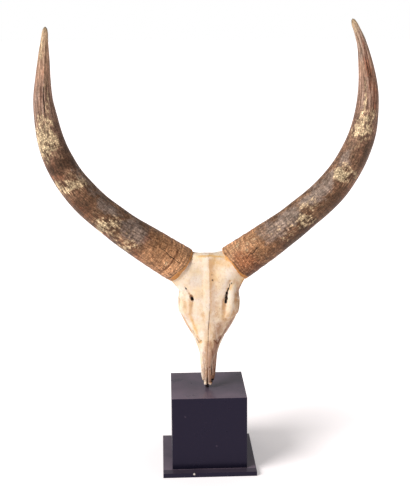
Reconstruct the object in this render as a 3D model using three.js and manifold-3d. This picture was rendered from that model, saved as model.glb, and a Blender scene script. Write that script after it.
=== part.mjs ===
// A mounted skull of a long-horned cow: a black plate and block, a steel rod, and the skull with
// its two horn sheaths. Millimetres, +Z up. The origin is the middle of the plate's underside, and
// the face looks along -Y. "left" and "right" are the animal's own, so left is on the +X side.
import * as THREE from 'three';
import { mergeVertices } from 'three/addons/utils/BufferGeometryUtils.js';
import Module from 'manifold-3d';

// Driving dimensions of the stand.
const plateSide = 325;
const plateThickness = 16;
const blockSide = 260;
const rodDiameter = 12;
const rodPlace = [-3, -19];              // x and y of the rod
const rodInBlock = 40;                   // how deep the rod stands in the block
const rodInSkull = 218;                  // how far it reaches above the tip of the nose
const gap = 0.3;                         // between pieces that touch

// Driving dimensions of the skull. Its own frame has x across, y from the face (0) back to the
// palate, and z from the tip of the nose (0) up to the poll (skullLength).
const skullLength = 471;
const noseTip = [-1.5, -56, 290];        // where that frame's origin stands
const leanBack = 3;                      // degrees that the poll leans back
const rollRight = 0.9;                   // degrees that the poll tips towards +X
const turnToLeft = 2.6;                  // degrees that the face turns towards -X
const boneWall = 7;                      // thickness of the bones round the nasal passage
const passageHeights = [37, 164];        // between which the nasal passage is hollow
const nasalHeights = [60, 292];          // between which the nasal bones may lie
const nasalTip = 62;                     // height of the free tips of the nasal bones
const nasalTop = 258;                    // where they end between the frontal bones
const nasalDepth = 40;                   // more than their depth, before and behind y = 0
const snoutSlot = { near: 10.4, far: 13.2, y: [-10, 36], z: [38, 98] };
const orbit = {
  x: 100.5, y: 47, z: 290, radius: 30, rim: 7.5, rimInset: 5, opening: 28, turn: 12, depth: 42,
};
const toothRow = {
  from: 146, to: 274, gumY: 96, crown: 42, nearX: 34, farX: 54, widths: [15, 23], lean: 3.4,
  space: 1, premolars: 3, premolarShare: 0.86, molars: 3, molarShare: 1.3,
};
const socketDepth = 40;                  // how far the horn sheath sits over the core

// Sections of the face, from the nose tip up: height, half width, y of the face, of the widest
// line and of the palate.
const faceStations = [
  [0, 9, 25, 29, 34], [7, 14.5, 22.5, 28, 37], [19, 20.3, 19.5, 28, 40], [37, 24.4, 15, 28, 44],
  [60, 26.8, 8.5, 28, 48], [92, 29.4, 1, 28, 56], [116, 31.8, 0, 31, 62], [137, 38, 0, 37, 70],
  [164, 50, 0, 46, 82], [190, 62.5, 0, 55, 90], [213, 77, 0, 60, 94], [231, 87, 1, 60, 96],
  [249, 95, 1, 57, 97], [270, 98.5, 0, 55, 97], [292, 92, 0, 54, 96], [314, 78, 4, 52, 94],
  [334, 58, 12, 52, 90],
];
// Sections of the frontal bones, which roof the skull from the eyes to the poll.
const frontalStations = [
  [228, 60, 3, 22, 36], [249, 87, 1, 24, 42], [268, 103, 0, 28, 50], [284, 106.5, -2, 30, 54],
  [304, 101, -3, 29, 48], [328, 99.5, -3, 29, 42], [346, 105, -3, 32, 50],
  [366, 111, -3, 38, 66], [392, 107, -3, 43, 80], [422, 92, -3, 44, 84], [448, 72, -1, 38, 72],
  [464, 56, 3, 32, 56], [skullLength, 42, 12, 30, 46],
];
// Sections of the brain case, under the frontal bones and behind the face.
const brainStations = [
  [288, 34, 20, 62, 100], [315, 44, 14, 64, 110], [348, 55, 10, 68, 118], [390, 61, 8, 70, 124],
  [432, 58, 10, 70, 126], [452, 44, 20, 68, 116],
];

// Bars of bone on the left side: points along each one's middle, its widths and depths at the two
// ends, and how finely it is divided. The right side mirrors them.
const boneBars = {
  cheekArch: {                           // from the cheek under the eye back to the jaw joint
    points: [
      [58, 68, 184], [80, 64, 226], [95, 78, 262], [99, 86, 306], [94, 88, 345], [80, 84, 378],
    ],
    widths: [12, 15],
    depths: [30, 18],
    sides: 8,
    steps: 8,
  },
  jawShelf: {                            // joins the arch to the brain case
    points: [[94, 84, 366], [70, 78, 384], [44, 72, 396]],
    widths: [26, 34],
    depths: [26, 40],
    sides: 8,
    steps: 4,
  },
  eyePost: {                             // behind the eye, from the frontal bone to the arch
    points: [[93, 20, 319], [97, 48, 326], [98, 84, 319]],
    widths: [24, 16],
    depths: [16, 16],
    sides: 8,
    steps: 4,
  },
  gumRidge: {                            // holds one row of teeth
    points: [[22, 58, 98], [30, 84, 136], [40, 96, 185], [50, 99, 240], [56, 90, 300]],
    widths: [8, 32],
    depths: [14, 40],
    sides: 8,
    steps: 7,
  },
  neckKnob: {                            // where the neck's first bone turned
    points: [[12, 134, 420], [27, 130, 431], [31, 102, 440]],
    widths: [20, 26],
    depths: [24, 22],
    sides: 8,
    steps: 4,
  },
  neckProcess: {                         // beside the knob, pointing back
    points: [[54, 76, 426], [57, 126, 412], [51, 162, 402]],
    widths: [46, 13],
    depths: [36, 14],
    sides: 6,
    steps: 4,
  },
  palateWing: {                          // behind the palate
    points: [[26, 100, 276], [25, 116, 300], [20, 112, 346]],
    widths: [8, 10],
    depths: [34, 26],
    sides: 6,
    steps: 4,
  },
};
const nape = { centre: [0, 66, 424], semi: [84, 60, 40], sides: 18, rows: 9 };
const napeBump = { centre: [0, 104, 424], semi: [44, 30, 30], sides: 12, rows: 6 };
const earCapsule = { centre: [37, 124, 382], semi: [10, 18, 18], sides: 8, rows: 6 };
const spineHole = { centre: [0, 110, 452], semi: [17, 17, 32], sides: 12, rows: 6 };
const throatHole = { centre: [0, 108, 296], semi: [15, 15, 34], sides: 10, rows: 6 };
const baseBar = { low: [-18, 96, 318], high: [18, 124, 438] };

// Each horn's middle line in the skull's frame, from inside the skull to the tip, and where on
// it the sheath starts. The right horn, on the -X side, reaches wider than the left.
const hornLines = {
  right: {
    points: [
      [-30, 70, 374], [-103.9, 50, 423.8], [-203.1, 16, 493.1], [-313.8, -16, 574],
      [-434.4, -27, 681], [-519.2, -22, 815.9], [-557.1, -8, 969.4], [-560.5, 14, 1126.5],
      [-553.6, 34, 1228.5],
    ],
    turn: -1,
  },
  left: {
    points: [
      [19, 62, 376], [92.7, 50, 433.5], [195.6, 32, 512.7], [303.2, 17, 598.5],
      [419, 6, 712.4], [496.9, 5, 852.7], [522.3, 14, 1009.6], [501, 30, 1166.1],
      [468, 48, 1266],
    ],
    turn: 1,
  },
};
// Radius of the sheath against distance from its rim, for a horn 1010 mm long.
const hornLength = 1010;
const sheathRadii = [
  [0, 63.5], [4, 67.4], [14, 68.8], [60, 66.6], [130, 63.4], [268, 56], [430, 53], [590, 46.8],
  [750, 36.9], [830, 29], [908, 20.4], [970, 11.5], [1000, 6.5], [hornLength, 2.5],
];
// Radius of the bone core, from its root in the skull to the end of its peg in the sheath.
const coreRadii = [[-92, 48], [-50, 70], [-28, 65], [-8, 59.5], [socketDepth, 50]];
const coreDrop = 1;                      // how far the core sits below the sheath's middle

const sectionSides = 20;
const passageSides = 16;
const hornSides = 16;
const hornSteps = 20;
const rodSides = 20;
const lineSamples = 2000;                // along a horn's middle line
const frontRoundness = 2.7;
const backRoundness = 2.5;
const beyond = 200;                      // further than the snout reaches from its own middle

const wasm = await Module();
wasm.setup();

// A closed surface through rings of points, each ring with as many points, ends fanned shut.
function surfaceThrough(rings) {
  const count = rings[0].length;
  const positions = rings.flat().flatMap((point) => [point.x, point.y, point.z]);
  const faces = [];
  for (let ring = 0; ring + 1 < rings.length; ring += 1) {
    for (let side = 0; side < count; side += 1) {
      const a = ring * count + side;
      const b = ring * count + ((side + 1) % count);
      faces.push(a, b, b + count, a, b + count, a + count);
    }
  }
  for (const [ring, flip] of [[0, true], [rings.length - 1, false]]) {
    const middle = new THREE.Vector3();
    rings[ring].forEach((point) => middle.addScaledVector(point, 1 / count));
    const centre = positions.length / 3;
    positions.push(middle.x, middle.y, middle.z);
    for (let side = 0; side < count; side += 1) {
      const a = ring * count + side;
      const b = ring * count + ((side + 1) % count);
      faces.push(...(flip ? [b, a, centre] : [a, b, centre]));
    }
  }
  const geometry = new THREE.BufferGeometry();
  geometry.setAttribute('position', new THREE.Float32BufferAttribute(positions, 3));
  geometry.setIndex(faces);
  return geometry;
}

// A three.js geometry as a manifold solid with its faces pointing out.
function solid(geometry) {
  const bare = geometry.clone();
  bare.deleteAttribute('normal');
  bare.deleteAttribute('uv');
  const merged = mergeVertices(bare, 1e-4);
  const triVerts = new Uint32Array(merged.index.array);
  const vertProperties = new Float32Array(merged.attributes.position.array);
  const made = new wasm.Manifold(new wasm.Mesh({ numProp: 3, vertProperties, triVerts }));
  if (made.volume() >= 0) return made;
  for (let i = 0; i < triVerts.length; i += 3) {
    [triVerts[i + 1], triVerts[i + 2]] = [triVerts[i + 2], triVerts[i + 1]];
  }
  return new wasm.Manifold(new wasm.Mesh({ numProp: 3, vertProperties, triVerts }));
}

function geometryOf(manifold) {
  const mesh = manifold.getMesh();
  const geometry = new THREE.BufferGeometry();
  geometry.setAttribute('position', new THREE.BufferAttribute(mesh.vertProperties, 3));
  geometry.setIndex(new THREE.BufferAttribute(mesh.triVerts, 1));
  return geometry;
}

function joined(pieces) {
  return pieces.reduce((whole, piece) => whole.add(piece));
}

// One section across the skull: a closed curve that is rounder or squarer in front and behind.
function section([z, half, face, wide, back], inset = 0, sides = sectionSides) {
  const ring = [];
  for (let side = 0; side < sides; side += 1) {
    const angle = (2 * Math.PI * side) / sides;
    const across = Math.cos(angle);
    const along = Math.sin(angle);
    const power = 2 / (along < 0 ? frontRoundness : backRoundness);
    const reach = along < 0 ? wide - face - inset : back - wide - inset;
    const x = (half - inset) * Math.sign(across) * Math.abs(across) ** power;
    const y = wide + reach * Math.sign(along) * Math.abs(along) ** power;
    ring.push(new THREE.Vector3(x, y, z));
  }
  return ring;
}

function loft(stations, inset = 0, sides = sectionSides) {
  return solid(surfaceThrough(stations.map((station) => section(station, inset, sides))));
}

function ellipsoid({ centre, semi, sides, rows }) {
  const geometry = new THREE.SphereGeometry(1, sides, rows);
  geometry.rotateX(Math.PI / 2);
  geometry.scale(...semi);
  geometry.translate(...centre);
  return solid(geometry);
}

function box(low, high) {
  const size = high.map((value, i) => value - low[i]);
  const geometry = new THREE.BoxGeometry(...size);
  geometry.translate(...low.map((value, i) => value + size[i] / 2));
  return solid(geometry);
}

// A box given for the left side, or its mirror image.
function sideBox(side, near, far, [lowY, highY], [lowZ, highZ]) {
  const edges = [side * near, side * far].sort((a, b) => a - b);
  return box([edges[0], lowY, lowZ], [edges[1], highY, highZ]);
}

// Straight line between the rows of a table of pairs.
function lookUp(table, at) {
  if (at <= table[0][0]) return table[0][1];
  for (let row = 1; row < table.length; row += 1) {
    const [start, low] = table[row - 1];
    const [end, high] = table[row];
    if (at <= end) return low + ((high - low) * (at - start)) / (end - start);
  }
  return table[table.length - 1][1];
}

function vectors(points) {
  return points.map((point) => new THREE.Vector3(...point));
}

// A tapering bar of bone with an oval section along a smooth line, for one side.
function boneBar(side, { points, widths, depths, sides, steps }) {
  const placed = vectors(points.map(([x, y, z]) => [side * x, y, z]));
  const line = new THREE.CatmullRomCurve3(placed, false, 'catmullrom', 0.5);
  const out = new THREE.Vector3();
  const rings = [];
  for (let step = 0; step <= steps; step += 1) {
    const t = step / steps;
    const centre = line.getPoint(t);
    const along = line.getTangent(t);
    out.set(0, 1, 0).cross(along).normalize();
    const deep = along.clone().cross(out).normalize();
    const [halfWidth, halfDepth] = [widths, depths].map((ends) => (
      THREE.MathUtils.lerp(ends[0], ends[1], t) / 2
    ));
    const ring = [];
    for (let corner = 0; corner < sides; corner += 1) {
      const angle = (2 * Math.PI * corner) / sides;
      ring.push(centre.clone()
        .addScaledVector(out, halfWidth * Math.cos(angle))
        .addScaledVector(deep, halfDepth * Math.sin(angle)));
    }
    rings.push(ring);
  }
  return solid(surfaceThrough(rings));
}

// A round body along a horn's middle line. Distances count from the sheath's rim, and drop is
// how far the body sits below that line.
function hornBody(horn, distances, radiusAt, drop = 0) {
  const line = new THREE.CatmullRomCurve3(vectors(horn.points), false, 'catmullrom', 0.5);
  line.arcLengthDivisions = lineSamples;
  const total = line.getLength();
  const toRim = line.getLengths()[Math.round(lineSamples / (horn.points.length - 1))];
  const stretch = (total - toRim) / hornLength;
  const front = new THREE.Vector3();
  const rings = distances.map((distance) => {
    const beyond = distance > 0 ? distance * stretch : distance;
    const at = THREE.MathUtils.clamp((toRim + beyond) / total, 0, 1);
    const centre = line.getPointAt(at);
    const along = line.getTangentAt(at);
    const up = new THREE.Vector3(0, -1, 0).cross(along).multiplyScalar(horn.turn).normalize();
    front.copy(up).cross(along).normalize();
    centre.addScaledVector(up, -drop);
    const radius = radiusAt(distance);
    return Array.from({ length: hornSides }, (_, side) => {
      const angle = (2 * Math.PI * side) / hornSides;
      return centre.clone()
        .addScaledVector(up, radius * Math.cos(angle))
        .addScaledVector(front, radius * Math.sin(angle));
    });
  });
  return solid(surfaceThrough(rings));
}

function sheath(horn) {
  const rim = [0, 5, 14];
  const tip = [hornLength - 10, hornLength];
  const distances = [...rim];
  for (let step = 1; step < hornSteps; step += 1) {
    distances.push(THREE.MathUtils.lerp(rim[2], tip[0], step / hornSteps));
  }
  distances.push(...tip);
  const whole = hornBody(horn, distances, (distance) => lookUp(sheathRadii, distance));
  const socket = hornBody(
    horn,
    [-8, 0, socketDepth / 2, socketDepth + gap],
    (distance) => lookUp(coreRadii, distance) + 2 * gap,
    coreDrop,
  );
  return whole.subtract(socket);
}

function hornCore(horn) {
  const distances = [...coreRadii.map(([distance]) => distance), socketDepth / 2];
  distances.sort((a, b) => a - b);
  return hornBody(horn, distances, (distance) => lookUp(coreRadii, distance), coreDrop);
}

// The bony ring round the eye socket and the hollow inside it, for one side.
function orbitRim(side) {
  const ring = new THREE.TorusGeometry(orbit.radius, orbit.rim, 6, 16);
  ring.rotateY(Math.PI / 2);
  ring.rotateZ(THREE.MathUtils.degToRad(-orbit.turn) * side);
  ring.translate(side * (orbit.x - orbit.rimInset), orbit.y, orbit.z);
  return solid(ring);
}

function orbitHollow(side) {
  const hollow = new THREE.SphereGeometry(1, 14, 9);
  hollow.scale(orbit.depth, orbit.opening, orbit.opening);
  hollow.rotateZ(THREE.MathUtils.degToRad(-orbit.turn) * side);
  hollow.translate(side * orbit.x, orbit.y, orbit.z);
  return solid(hollow);
}

// One row of cheek teeth: wider towards the back, with the crowns standing off the palate.
function toothCrowns(side) {
  const { from, to, premolars, premolarShare, molars, molarShare } = toothRow;
  const pitch = (to - from) / (premolars * premolarShare + molars * molarShare);
  const crowns = [];
  let z = from;
  for (let tooth = 0; tooth < premolars + molars; tooth += 1) {
    const length = pitch * (tooth < premolars ? premolarShare : molarShare);
    const x = THREE.MathUtils.lerp(toothRow.nearX, toothRow.farX, (z - from) / (to - from));
    const width = THREE.MathUtils.lerp(...toothRow.widths, tooth / (premolars + molars - 1));
    const crown = new THREE.BoxGeometry(width, toothRow.crown, length - toothRow.space);
    crown.rotateX(THREE.MathUtils.degToRad(-toothRow.lean));
    crown.translate(side * x, toothRow.gumY + toothRow.crown / 2, z + length / 2);
    crowns.push(solid(crown));
    z += length;
  }
  return joined(crowns);
}

// The plan of one nasal bone, with its narrow free end, drawn across (x) and up (z), as a slab
// that reaches past the face in front and into the nasal passage behind.
function nasalPlan(side, grow) {
  const inner = 0.5 * gap - grow;
  const outline = [
    [inner, nasalTip + 6 - grow], [5, nasalTip - grow], [9, nasalTip + 2 - grow],
    [10.5 + grow, nasalTip + 12], [12.5 + grow, 98], [22 + grow, 116], [27 + grow, 134],
    [27.5 + grow, 160], [22 + grow, 200], [12 + grow, nasalTop - 3], [inner, nasalTop + grow],
  ];
  const shape = new THREE.Shape(outline.map(([x, z]) => new THREE.Vector2(side * x, z)));
  const slab = new THREE.ExtrudeGeometry(shape, { depth: 2 * nasalDepth, bevelEnabled: false });
  slab.rotateX(Math.PI / 2);
  slab.translate(0, nasalDepth, 0);
  return solid(slab);
}

// All that lies below the slanted seam between the snout's end bones and the face.
function snoutEnd(offset) {
  const seam = [[-20, 172], [18, 166], [70, 100]].map(([y, z]) => [y, z + offset]);
  const outline = [...seam, [70, -20], [-20, -20]];
  const shape = new THREE.Shape(outline.map(([y, z]) => new THREE.Vector2(y, z)));
  const slab = new THREE.ExtrudeGeometry(shape, { depth: 2 * beyond, bevelEnabled: false });
  slab.rotateX(Math.PI / 2);
  slab.rotateZ(Math.PI / 2);
  slab.translate(-beyond, 0, 0);
  return solid(slab);
}

// An upright cylinder round the rod's own middle line, between two heights above the floor.
function upright(radius, from, to) {
  const geometry = new THREE.CylinderGeometry(radius, radius, to - from, rodSides);
  geometry.rotateX(Math.PI / 2);
  geometry.translate(...rodPlace, (from + to) / 2);
  return geometry;
}

const skull = new THREE.Group();
skull.position.set(...noseTip);
skull.rotation.set(
  THREE.MathUtils.degToRad(-leanBack),
  THREE.MathUtils.degToRad(rollRight),
  THREE.MathUtils.degToRad(-turnToLeft),
  'ZYX',
);
skull.updateMatrix();

const bone = new THREE.MeshStandardMaterial({ color: 0xe6cfa8, roughness: 0.7 });
const horn = new THREE.MeshStandardMaterial({ color: 0x7d5f47, roughness: 0.55 });
const blackPaint = new THREE.MeshStandardMaterial({ color: 0x2b2830, roughness: 0.4 });
const steel = new THREE.MeshStandardMaterial({ color: 0x3a3436, roughness: 0.4, metalness: 0.8 });

function named(name, geometry, material) {
  const mesh = new THREE.Mesh(geometry, material);
  mesh.name = name;
  return mesh;
}

// Heights of the stand's pieces.
const blockFoot = plateThickness + gap;
const blockTop = blockFoot + blockSide;
const rodFoot = blockTop - rodInBlock;
const rodTop = noseTip[2] + rodInSkull;
const boreRadius = rodDiameter / 2 + gap;

// The whole face as one solid, the nasal passage, the room under the nasal bones and their beds.
const faceSolid = loft(faceStations);
const between = ([low, high]) => faceStations.filter(([z]) => z >= low && z <= high);
const passage = loft(between(passageHeights), boneWall, passageSides);
const underNasal = loft(between(nasalHeights), boneWall, passageSides);
const underNasalGap = loft(between(nasalHeights), boneWall + gap, passageSides);
const nasalRoom = joined([-1, 1].map((side) => nasalPlan(side, gap))).subtract(underNasalGap);
const rodBore = solid(upright(boreRadius, blockTop, rodTop + gap)
  .applyMatrix4(skull.matrix.clone().invert()));

// The small bones at the snout's end, both sides at once, with a narrow slit in each.
const { near, far, y: slotY, z: slotZ } = snoutSlot;
const snoutPiece = faceSolid.subtract(passage).subtract(nasalRoom)
  .intersect(snoutEnd(-gap))
  .subtract(joined([-1, 1].map((side) => sideBox(side, near, far, slotY, slotZ))))
  .subtract(box([-gap / 2, -beyond, -beyond], [gap / 2, beyond, beyond]))
  .subtract(rodBore);

// The cranium: all the bones above and behind the snout, grown together.
let cranium = joined([
  faceSolid.subtract(passage),
  loft(brainStations),
  loft(frontalStations),
  ellipsoid(nape),
  ellipsoid(napeBump),
  box(baseBar.low, baseBar.high),
]);
for (const side of [-1, 1]) {
  const [x, y, z] = earCapsule.centre;
  cranium = joined([
    cranium,
    ...Object.values(boneBars).map((shape) => boneBar(side, shape)),
    ellipsoid({ ...earCapsule, centre: [side * x, y, z] }),
    toothCrowns(side),
    orbitRim(side),
  ]);
}
for (const side of [-1, 1]) cranium = cranium.subtract(orbitHollow(side));
cranium = cranium
  .add(hornCore(hornLines.right))
  .add(hornCore(hornLines.left))
  .subtract(ellipsoid(spineHole))
  .subtract(ellipsoid(throatHole))
  .subtract(nasalRoom)
  .subtract(snoutEnd(0))
  .subtract(rodBore);

skull.add(named('cranium', geometryOf(cranium), bone));
for (const [name, side] of [['right', -1], ['left', 1]]) {
  const half = sideBox(side, 0, beyond, [-beyond, beyond], [-beyond, beyond]);
  const nasal = nasalPlan(side, 0).subtract(underNasal).intersect(faceSolid);
  skull.add(named(`nasal_${name}`, geometryOf(nasal), bone));
  skull.add(named(`premaxilla_${name}`, geometryOf(snoutPiece.intersect(half)), bone));
  skull.add(named(`horn_${name}`, geometryOf(sheath(hornLines[name])), horn));
}

// The stand.
const plate = new THREE.BoxGeometry(plateSide, plateSide, plateThickness);
plate.translate(0, 0, plateThickness / 2);
const rod = upright(rodDiameter / 2, rodFoot, rodTop);
const block = box(
  [-blockSide / 2, -blockSide / 2, blockFoot],
  [blockSide / 2, blockSide / 2, blockTop],
).subtract(solid(upright(boreRadius, rodFoot - gap, blockTop + rodInBlock)));

const group = new THREE.Group();
group.add(skull);
group.add(named('mount_plate', plate, blackPaint));
group.add(named('mount_block', geometryOf(block), blackPaint));
group.add(named('mount_rod', rod, steel));

export default group;
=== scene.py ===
import math

import bmesh
import bpy
import numpy as np
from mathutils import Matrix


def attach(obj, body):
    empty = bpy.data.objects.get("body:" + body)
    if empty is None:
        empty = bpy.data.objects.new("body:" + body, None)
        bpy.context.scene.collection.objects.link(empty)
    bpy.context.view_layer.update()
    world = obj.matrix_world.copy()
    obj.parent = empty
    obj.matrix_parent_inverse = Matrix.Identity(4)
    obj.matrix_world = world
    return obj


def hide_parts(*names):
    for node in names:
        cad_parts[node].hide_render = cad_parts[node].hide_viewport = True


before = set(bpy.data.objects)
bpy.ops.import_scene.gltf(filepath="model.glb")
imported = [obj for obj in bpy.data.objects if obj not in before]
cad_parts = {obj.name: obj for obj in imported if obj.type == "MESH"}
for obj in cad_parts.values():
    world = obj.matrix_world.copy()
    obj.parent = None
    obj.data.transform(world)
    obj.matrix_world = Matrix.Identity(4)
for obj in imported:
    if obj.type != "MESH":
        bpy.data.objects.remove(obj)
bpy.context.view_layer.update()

import openvdb as vdb
from mathutils import Matrix, Vector

mm = 0.001
sides = {"right": -1, "left": 1}  # the animal's own sides, so its left is at +X
print("frame loaded")


def addObject(name, data):
    made = bpy.data.objects.new(name, data)
    bpy.context.collection.objects.link(made)
    return made


cameraSetup = {
    "place": (-0.15164, -3.34410, 1.55868),
    "turn": 2.480,    # degrees towards +X
    "down": 12.871,
    "roll": -0.339,
    "lens": 73.92,    # mm, for a 36 mm sensor along the picture's tall side
}


def addCamera():
    turn, down, roll = (math.radians(cameraSetup[key]) for key in ("turn", "down", "roll"))
    camera = addObject("camera", bpy.data.cameras.new("camera"))
    camera.data.lens = cameraSetup["lens"]
    camera.data.sensor_width = 36
    camera.data.clip_end = 100
    camera.matrix_world = (
        Matrix.Translation(cameraSetup["place"])
        @ Matrix.Rotation(-turn, 4, "Z")
        @ Matrix.Rotation(math.pi / 2 - down, 4, "X")
        @ Matrix.Rotation(roll, 4, "Z")
    )
    bpy.context.scene.camera = camera


addCamera()


def linear(hexColour):
    channels = [int(hexColour[at:at + 2], 16) / 255 for at in (1, 3, 5)]
    return (*(c / 12.92 if c <= 0.04045 else ((c + 0.055) / 1.055) ** 2.4 for c in channels), 1)


# Adds one node. A setting goes by its socket's name or number, or by the node's own property. A
# link comes from a socket, or from a node's first output in use.
def node(tree, kind, settings=None, links=None):
    made = tree.nodes.new("ShaderNode" + kind)
    for name, value in (settings or {}).items():
        if isinstance(name, int) or name in made.inputs:
            made.inputs[name].default_value = value
        else:
            setattr(made, name, value)
    for name, source in (links or {}).items():
        if isinstance(source, bpy.types.Node):
            source = next(output for output in source.outputs if output.enabled)
        tree.links.new(source, made.inputs[name])
    return made


def newMaterial(name):
    material = bpy.data.materials.new(name)
    material.use_nodes = True
    material.node_tree.nodes.clear()
    return material, material.node_tree


def fillRamp(ramp, stops):
    elements = ramp.color_ramp.elements
    while len(elements) < len(stops):
        elements.new(0.5)
    for element, (place, colour) in zip(elements, stops):
        element.position = place
        element.color = linear(colour) if isinstance(colour, str) else (colour, colour, colour, 1)


def placePiece(piece, slot, *nodes):
    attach(piece, "root")
    if nodes:
        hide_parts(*nodes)


studio = {
    "floorColour": "#f5eded",
    "glowColour": "#fffbfb",
    "floorGlow": 0.36,         # lifts the floor to white, as in a product studio
    "farGlow": 0.66,           # the same further off, where the shadow fades into white
    "glowReach": (0.2, 0.85),  # metres from the stand's middle between the two
    "floorRadius": 60,
    "keyFrom": (-1.15, -0.75, 1.05),
    "keySoftness": 30,         # degrees across, as a big softbox
    "keyStrength": 2.95,
    "worldLight": 0.22,        # as light, while the background itself stays white
    "worldGloss": 0.5,         # as a reflection
}


def buildStudio():
    mesh = bpy.data.meshes.new("floor")
    turns = np.linspace(0, 2 * math.pi, 96, endpoint=False)
    rim = [(math.cos(t) * studio["floorRadius"], math.sin(t) * studio["floorRadius"], 0)
           for t in turns]
    mesh.from_pydata(rim, [], [list(range(96))])
    floor = addObject("floor", mesh)
    # Matt white paper, soft, with a painted glow: an emission that lifts it to white, bright enough to
    # lose its horizon, and more so away from the stand, so that the shadow fades out.
    paper, tree = newMaterial("white_paper_with_painted_glow")
    matt = node(tree, "BsdfDiffuse", {"Color": linear(studio["floorColour"])})
    place = node(tree, "TexCoord").outputs["Object"]
    away = node(tree, "VectorMath", {"operation": "LENGTH"}, {0: place})
    near, far = studio["glowReach"]
    fade = node(tree, "MapRange",
                {"From Min": near, "From Max": far, "To Min": studio["floorGlow"],
                 "To Max": studio["farGlow"]}, {"Value": away})
    # Only the eye sees the fade. The light that the floor gives the skull stays even.
    direct = node(tree, "LightPath").outputs["Is Camera Ray"]
    lift = node(tree, "MapRange", {"To Min": studio["floorGlow"]},
                {"Value": direct, "To Max": fade})
    glow = node(tree, "Emission", {"Color": linear(studio["glowColour"])}, {"Strength": lift})
    both = node(tree, "AddShader", {}, {0: matt, 1: glow})
    node(tree, "OutputMaterial", {}, {"Surface": both})
    mesh.materials.append(paper)

    light = bpy.data.lights.new("key", "SUN")
    light.energy = studio["keyStrength"]
    light.angle = math.radians(studio["keySoftness"])
    lamp = addObject("key", light)
    lamp.rotation_euler = Vector(studio["keyFrom"]).to_track_quat("Z", "Y").to_euler()

    world = bpy.data.worlds.new("world")
    world.use_nodes = True
    tree = world.node_tree
    tree.nodes.clear()
    path = node(tree, "LightPath")
    gloss = node(tree, "MapRange", {"To Min": studio["worldLight"], "To Max": studio["worldGloss"]},
                 {"Value": path.outputs["Is Glossy Ray"]})
    strength = node(tree, "MapRange", {"To Max": 1.0},
                    {"Value": path.outputs["Is Camera Ray"], "To Min": gloss})
    sky = node(tree, "Background", {"Color": (1, 1, 1, 1)}, {"Strength": strength})
    node(tree, "OutputWorld", {}, {"Surface": sky})
    bpy.context.scene.world = world
    bpy.context.scene.view_settings.view_transform = "Standard"


buildStudio()
print("studio built")

# The skull's own frame, in mm: x across, y from the face back to the palate, z from nose to poll.
skullPose = {"noseTip": (-1.5, -56, 290), "leanBack": 3, "rollRight": 0.9, "turnToLeft": 2.6}
skullMatrix = (
    Matrix.Translation([v * mm for v in skullPose["noseTip"]])
    @ Matrix.Rotation(math.radians(-skullPose["turnToLeft"]), 4, "Z")
    @ Matrix.Rotation(math.radians(skullPose["rollRight"]), 4, "Y")
    @ Matrix.Rotation(math.radians(-skullPose["leanBack"]), 4, "X")
)

# Bone is sculpted as a signed distance in mm on a grid of cells, which then becomes a mesh. A
# shape is (lowest corner, highest corner, function giving its distance at x, y, z).


def openRoom(low, high, cell):
    axes = [np.arange(low[k], high[k] + cell, cell, dtype=np.float32) for k in range(3)]
    field = np.full([len(axis) for axis in axes], 40, dtype=np.float32)
    return {"low": np.array(low, float), "cell": cell, "axes": axes, "field": field}


def cellsIn(room, low, high):
    cells, places = [], []
    for k, axis in enumerate(room["axes"]):
        first, last = np.searchsorted(axis, (low[k], high[k]))
        cells.append(slice(first, last))
        shape = [1, 1, 1]
        shape[k] = -1
        places.append(axis[first:last].reshape(shape))
    return tuple(cells), places


def softMin(a, b, soft):
    share = np.clip(0.5 + 0.5 * (b - a) / soft, 0, 1)
    return b + (a - b) * share - soft * share * (1 - share)


def addShape(room, shape, soft):
    low, high, distance = shape
    cells, places = cellsIn(room, low - 2 * soft, high + 2 * soft)
    if all(place.size for place in places):
        room["field"][cells] = softMin(room["field"][cells], distance(*places), soft)


def cutShape(room, shape, soft):
    low, high, distance = shape
    cells, places = cellsIn(room, low - 2 * soft, high + 2 * soft)
    if all(place.size for place in places):
        room["field"][cells] = -softMin(-room["field"][cells], distance(*places), soft)


def keepShape(room, shape, soft):
    cells, places = cellsIn(room, room["low"], room["low"] + 1e4)
    room["field"] = -softMin(-room["field"], -shape[2](*places), soft)


def mirrored(points, side):
    return [(side * x, y, z) for x, y, z in points]


def ellipsoid(centre, semi, turn=0):
    centre, semi = np.array(centre, float), np.array(semi, float)
    cosine, sine = math.cos(math.radians(turn)), math.sin(math.radians(turn))

    def distance(x, y, z):
        across, back, up = x - centre[0], y - centre[1], z - centre[2]
        across, back = across * cosine + back * sine, back * cosine - across * sine
        near = np.sqrt((across / semi[0]) ** 2 + (back / semi[1]) ** 2 + (up / semi[2]) ** 2)
        steep = np.sqrt(
            (across / semi[0] ** 2) ** 2 + (back / semi[1] ** 2) ** 2 + (up / semi[2] ** 2) ** 2
        )
        return near * (near - 1) / (steep + 1e-6)

    return centre - semi.max(), centre + semi.max(), distance


def roundedBox(low, high, radius):
    low, high = np.array(low, float), np.array(high, float)
    centre, half = (low + high) / 2, (high - low) / 2 - radius

    def distance(x, y, z):
        past = [np.abs(v - c) - h for v, c, h in zip((x, y, z), centre, half)]
        outside = np.sqrt(sum(np.maximum(v, 0) ** 2 for v in past))
        inside = np.minimum(np.maximum(np.maximum(past[0], past[1]), past[2]), 0)
        return outside + inside - radius

    return low, high, distance


def ring(centre, radius, thick, turn):
    centre = np.array(centre, float)
    cosine, sine = math.cos(math.radians(turn)), math.sin(math.radians(turn))

    def distance(x, y, z):
        across, back, up = x - centre[0], y - centre[1], z - centre[2]
        across, back = across * cosine + back * sine, back * cosine - across * sine
        return np.sqrt((np.sqrt(back ** 2 + up ** 2) - radius) ** 2 + across ** 2) - thick

    reach = radius + thick
    return centre - reach, centre + reach, distance


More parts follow.
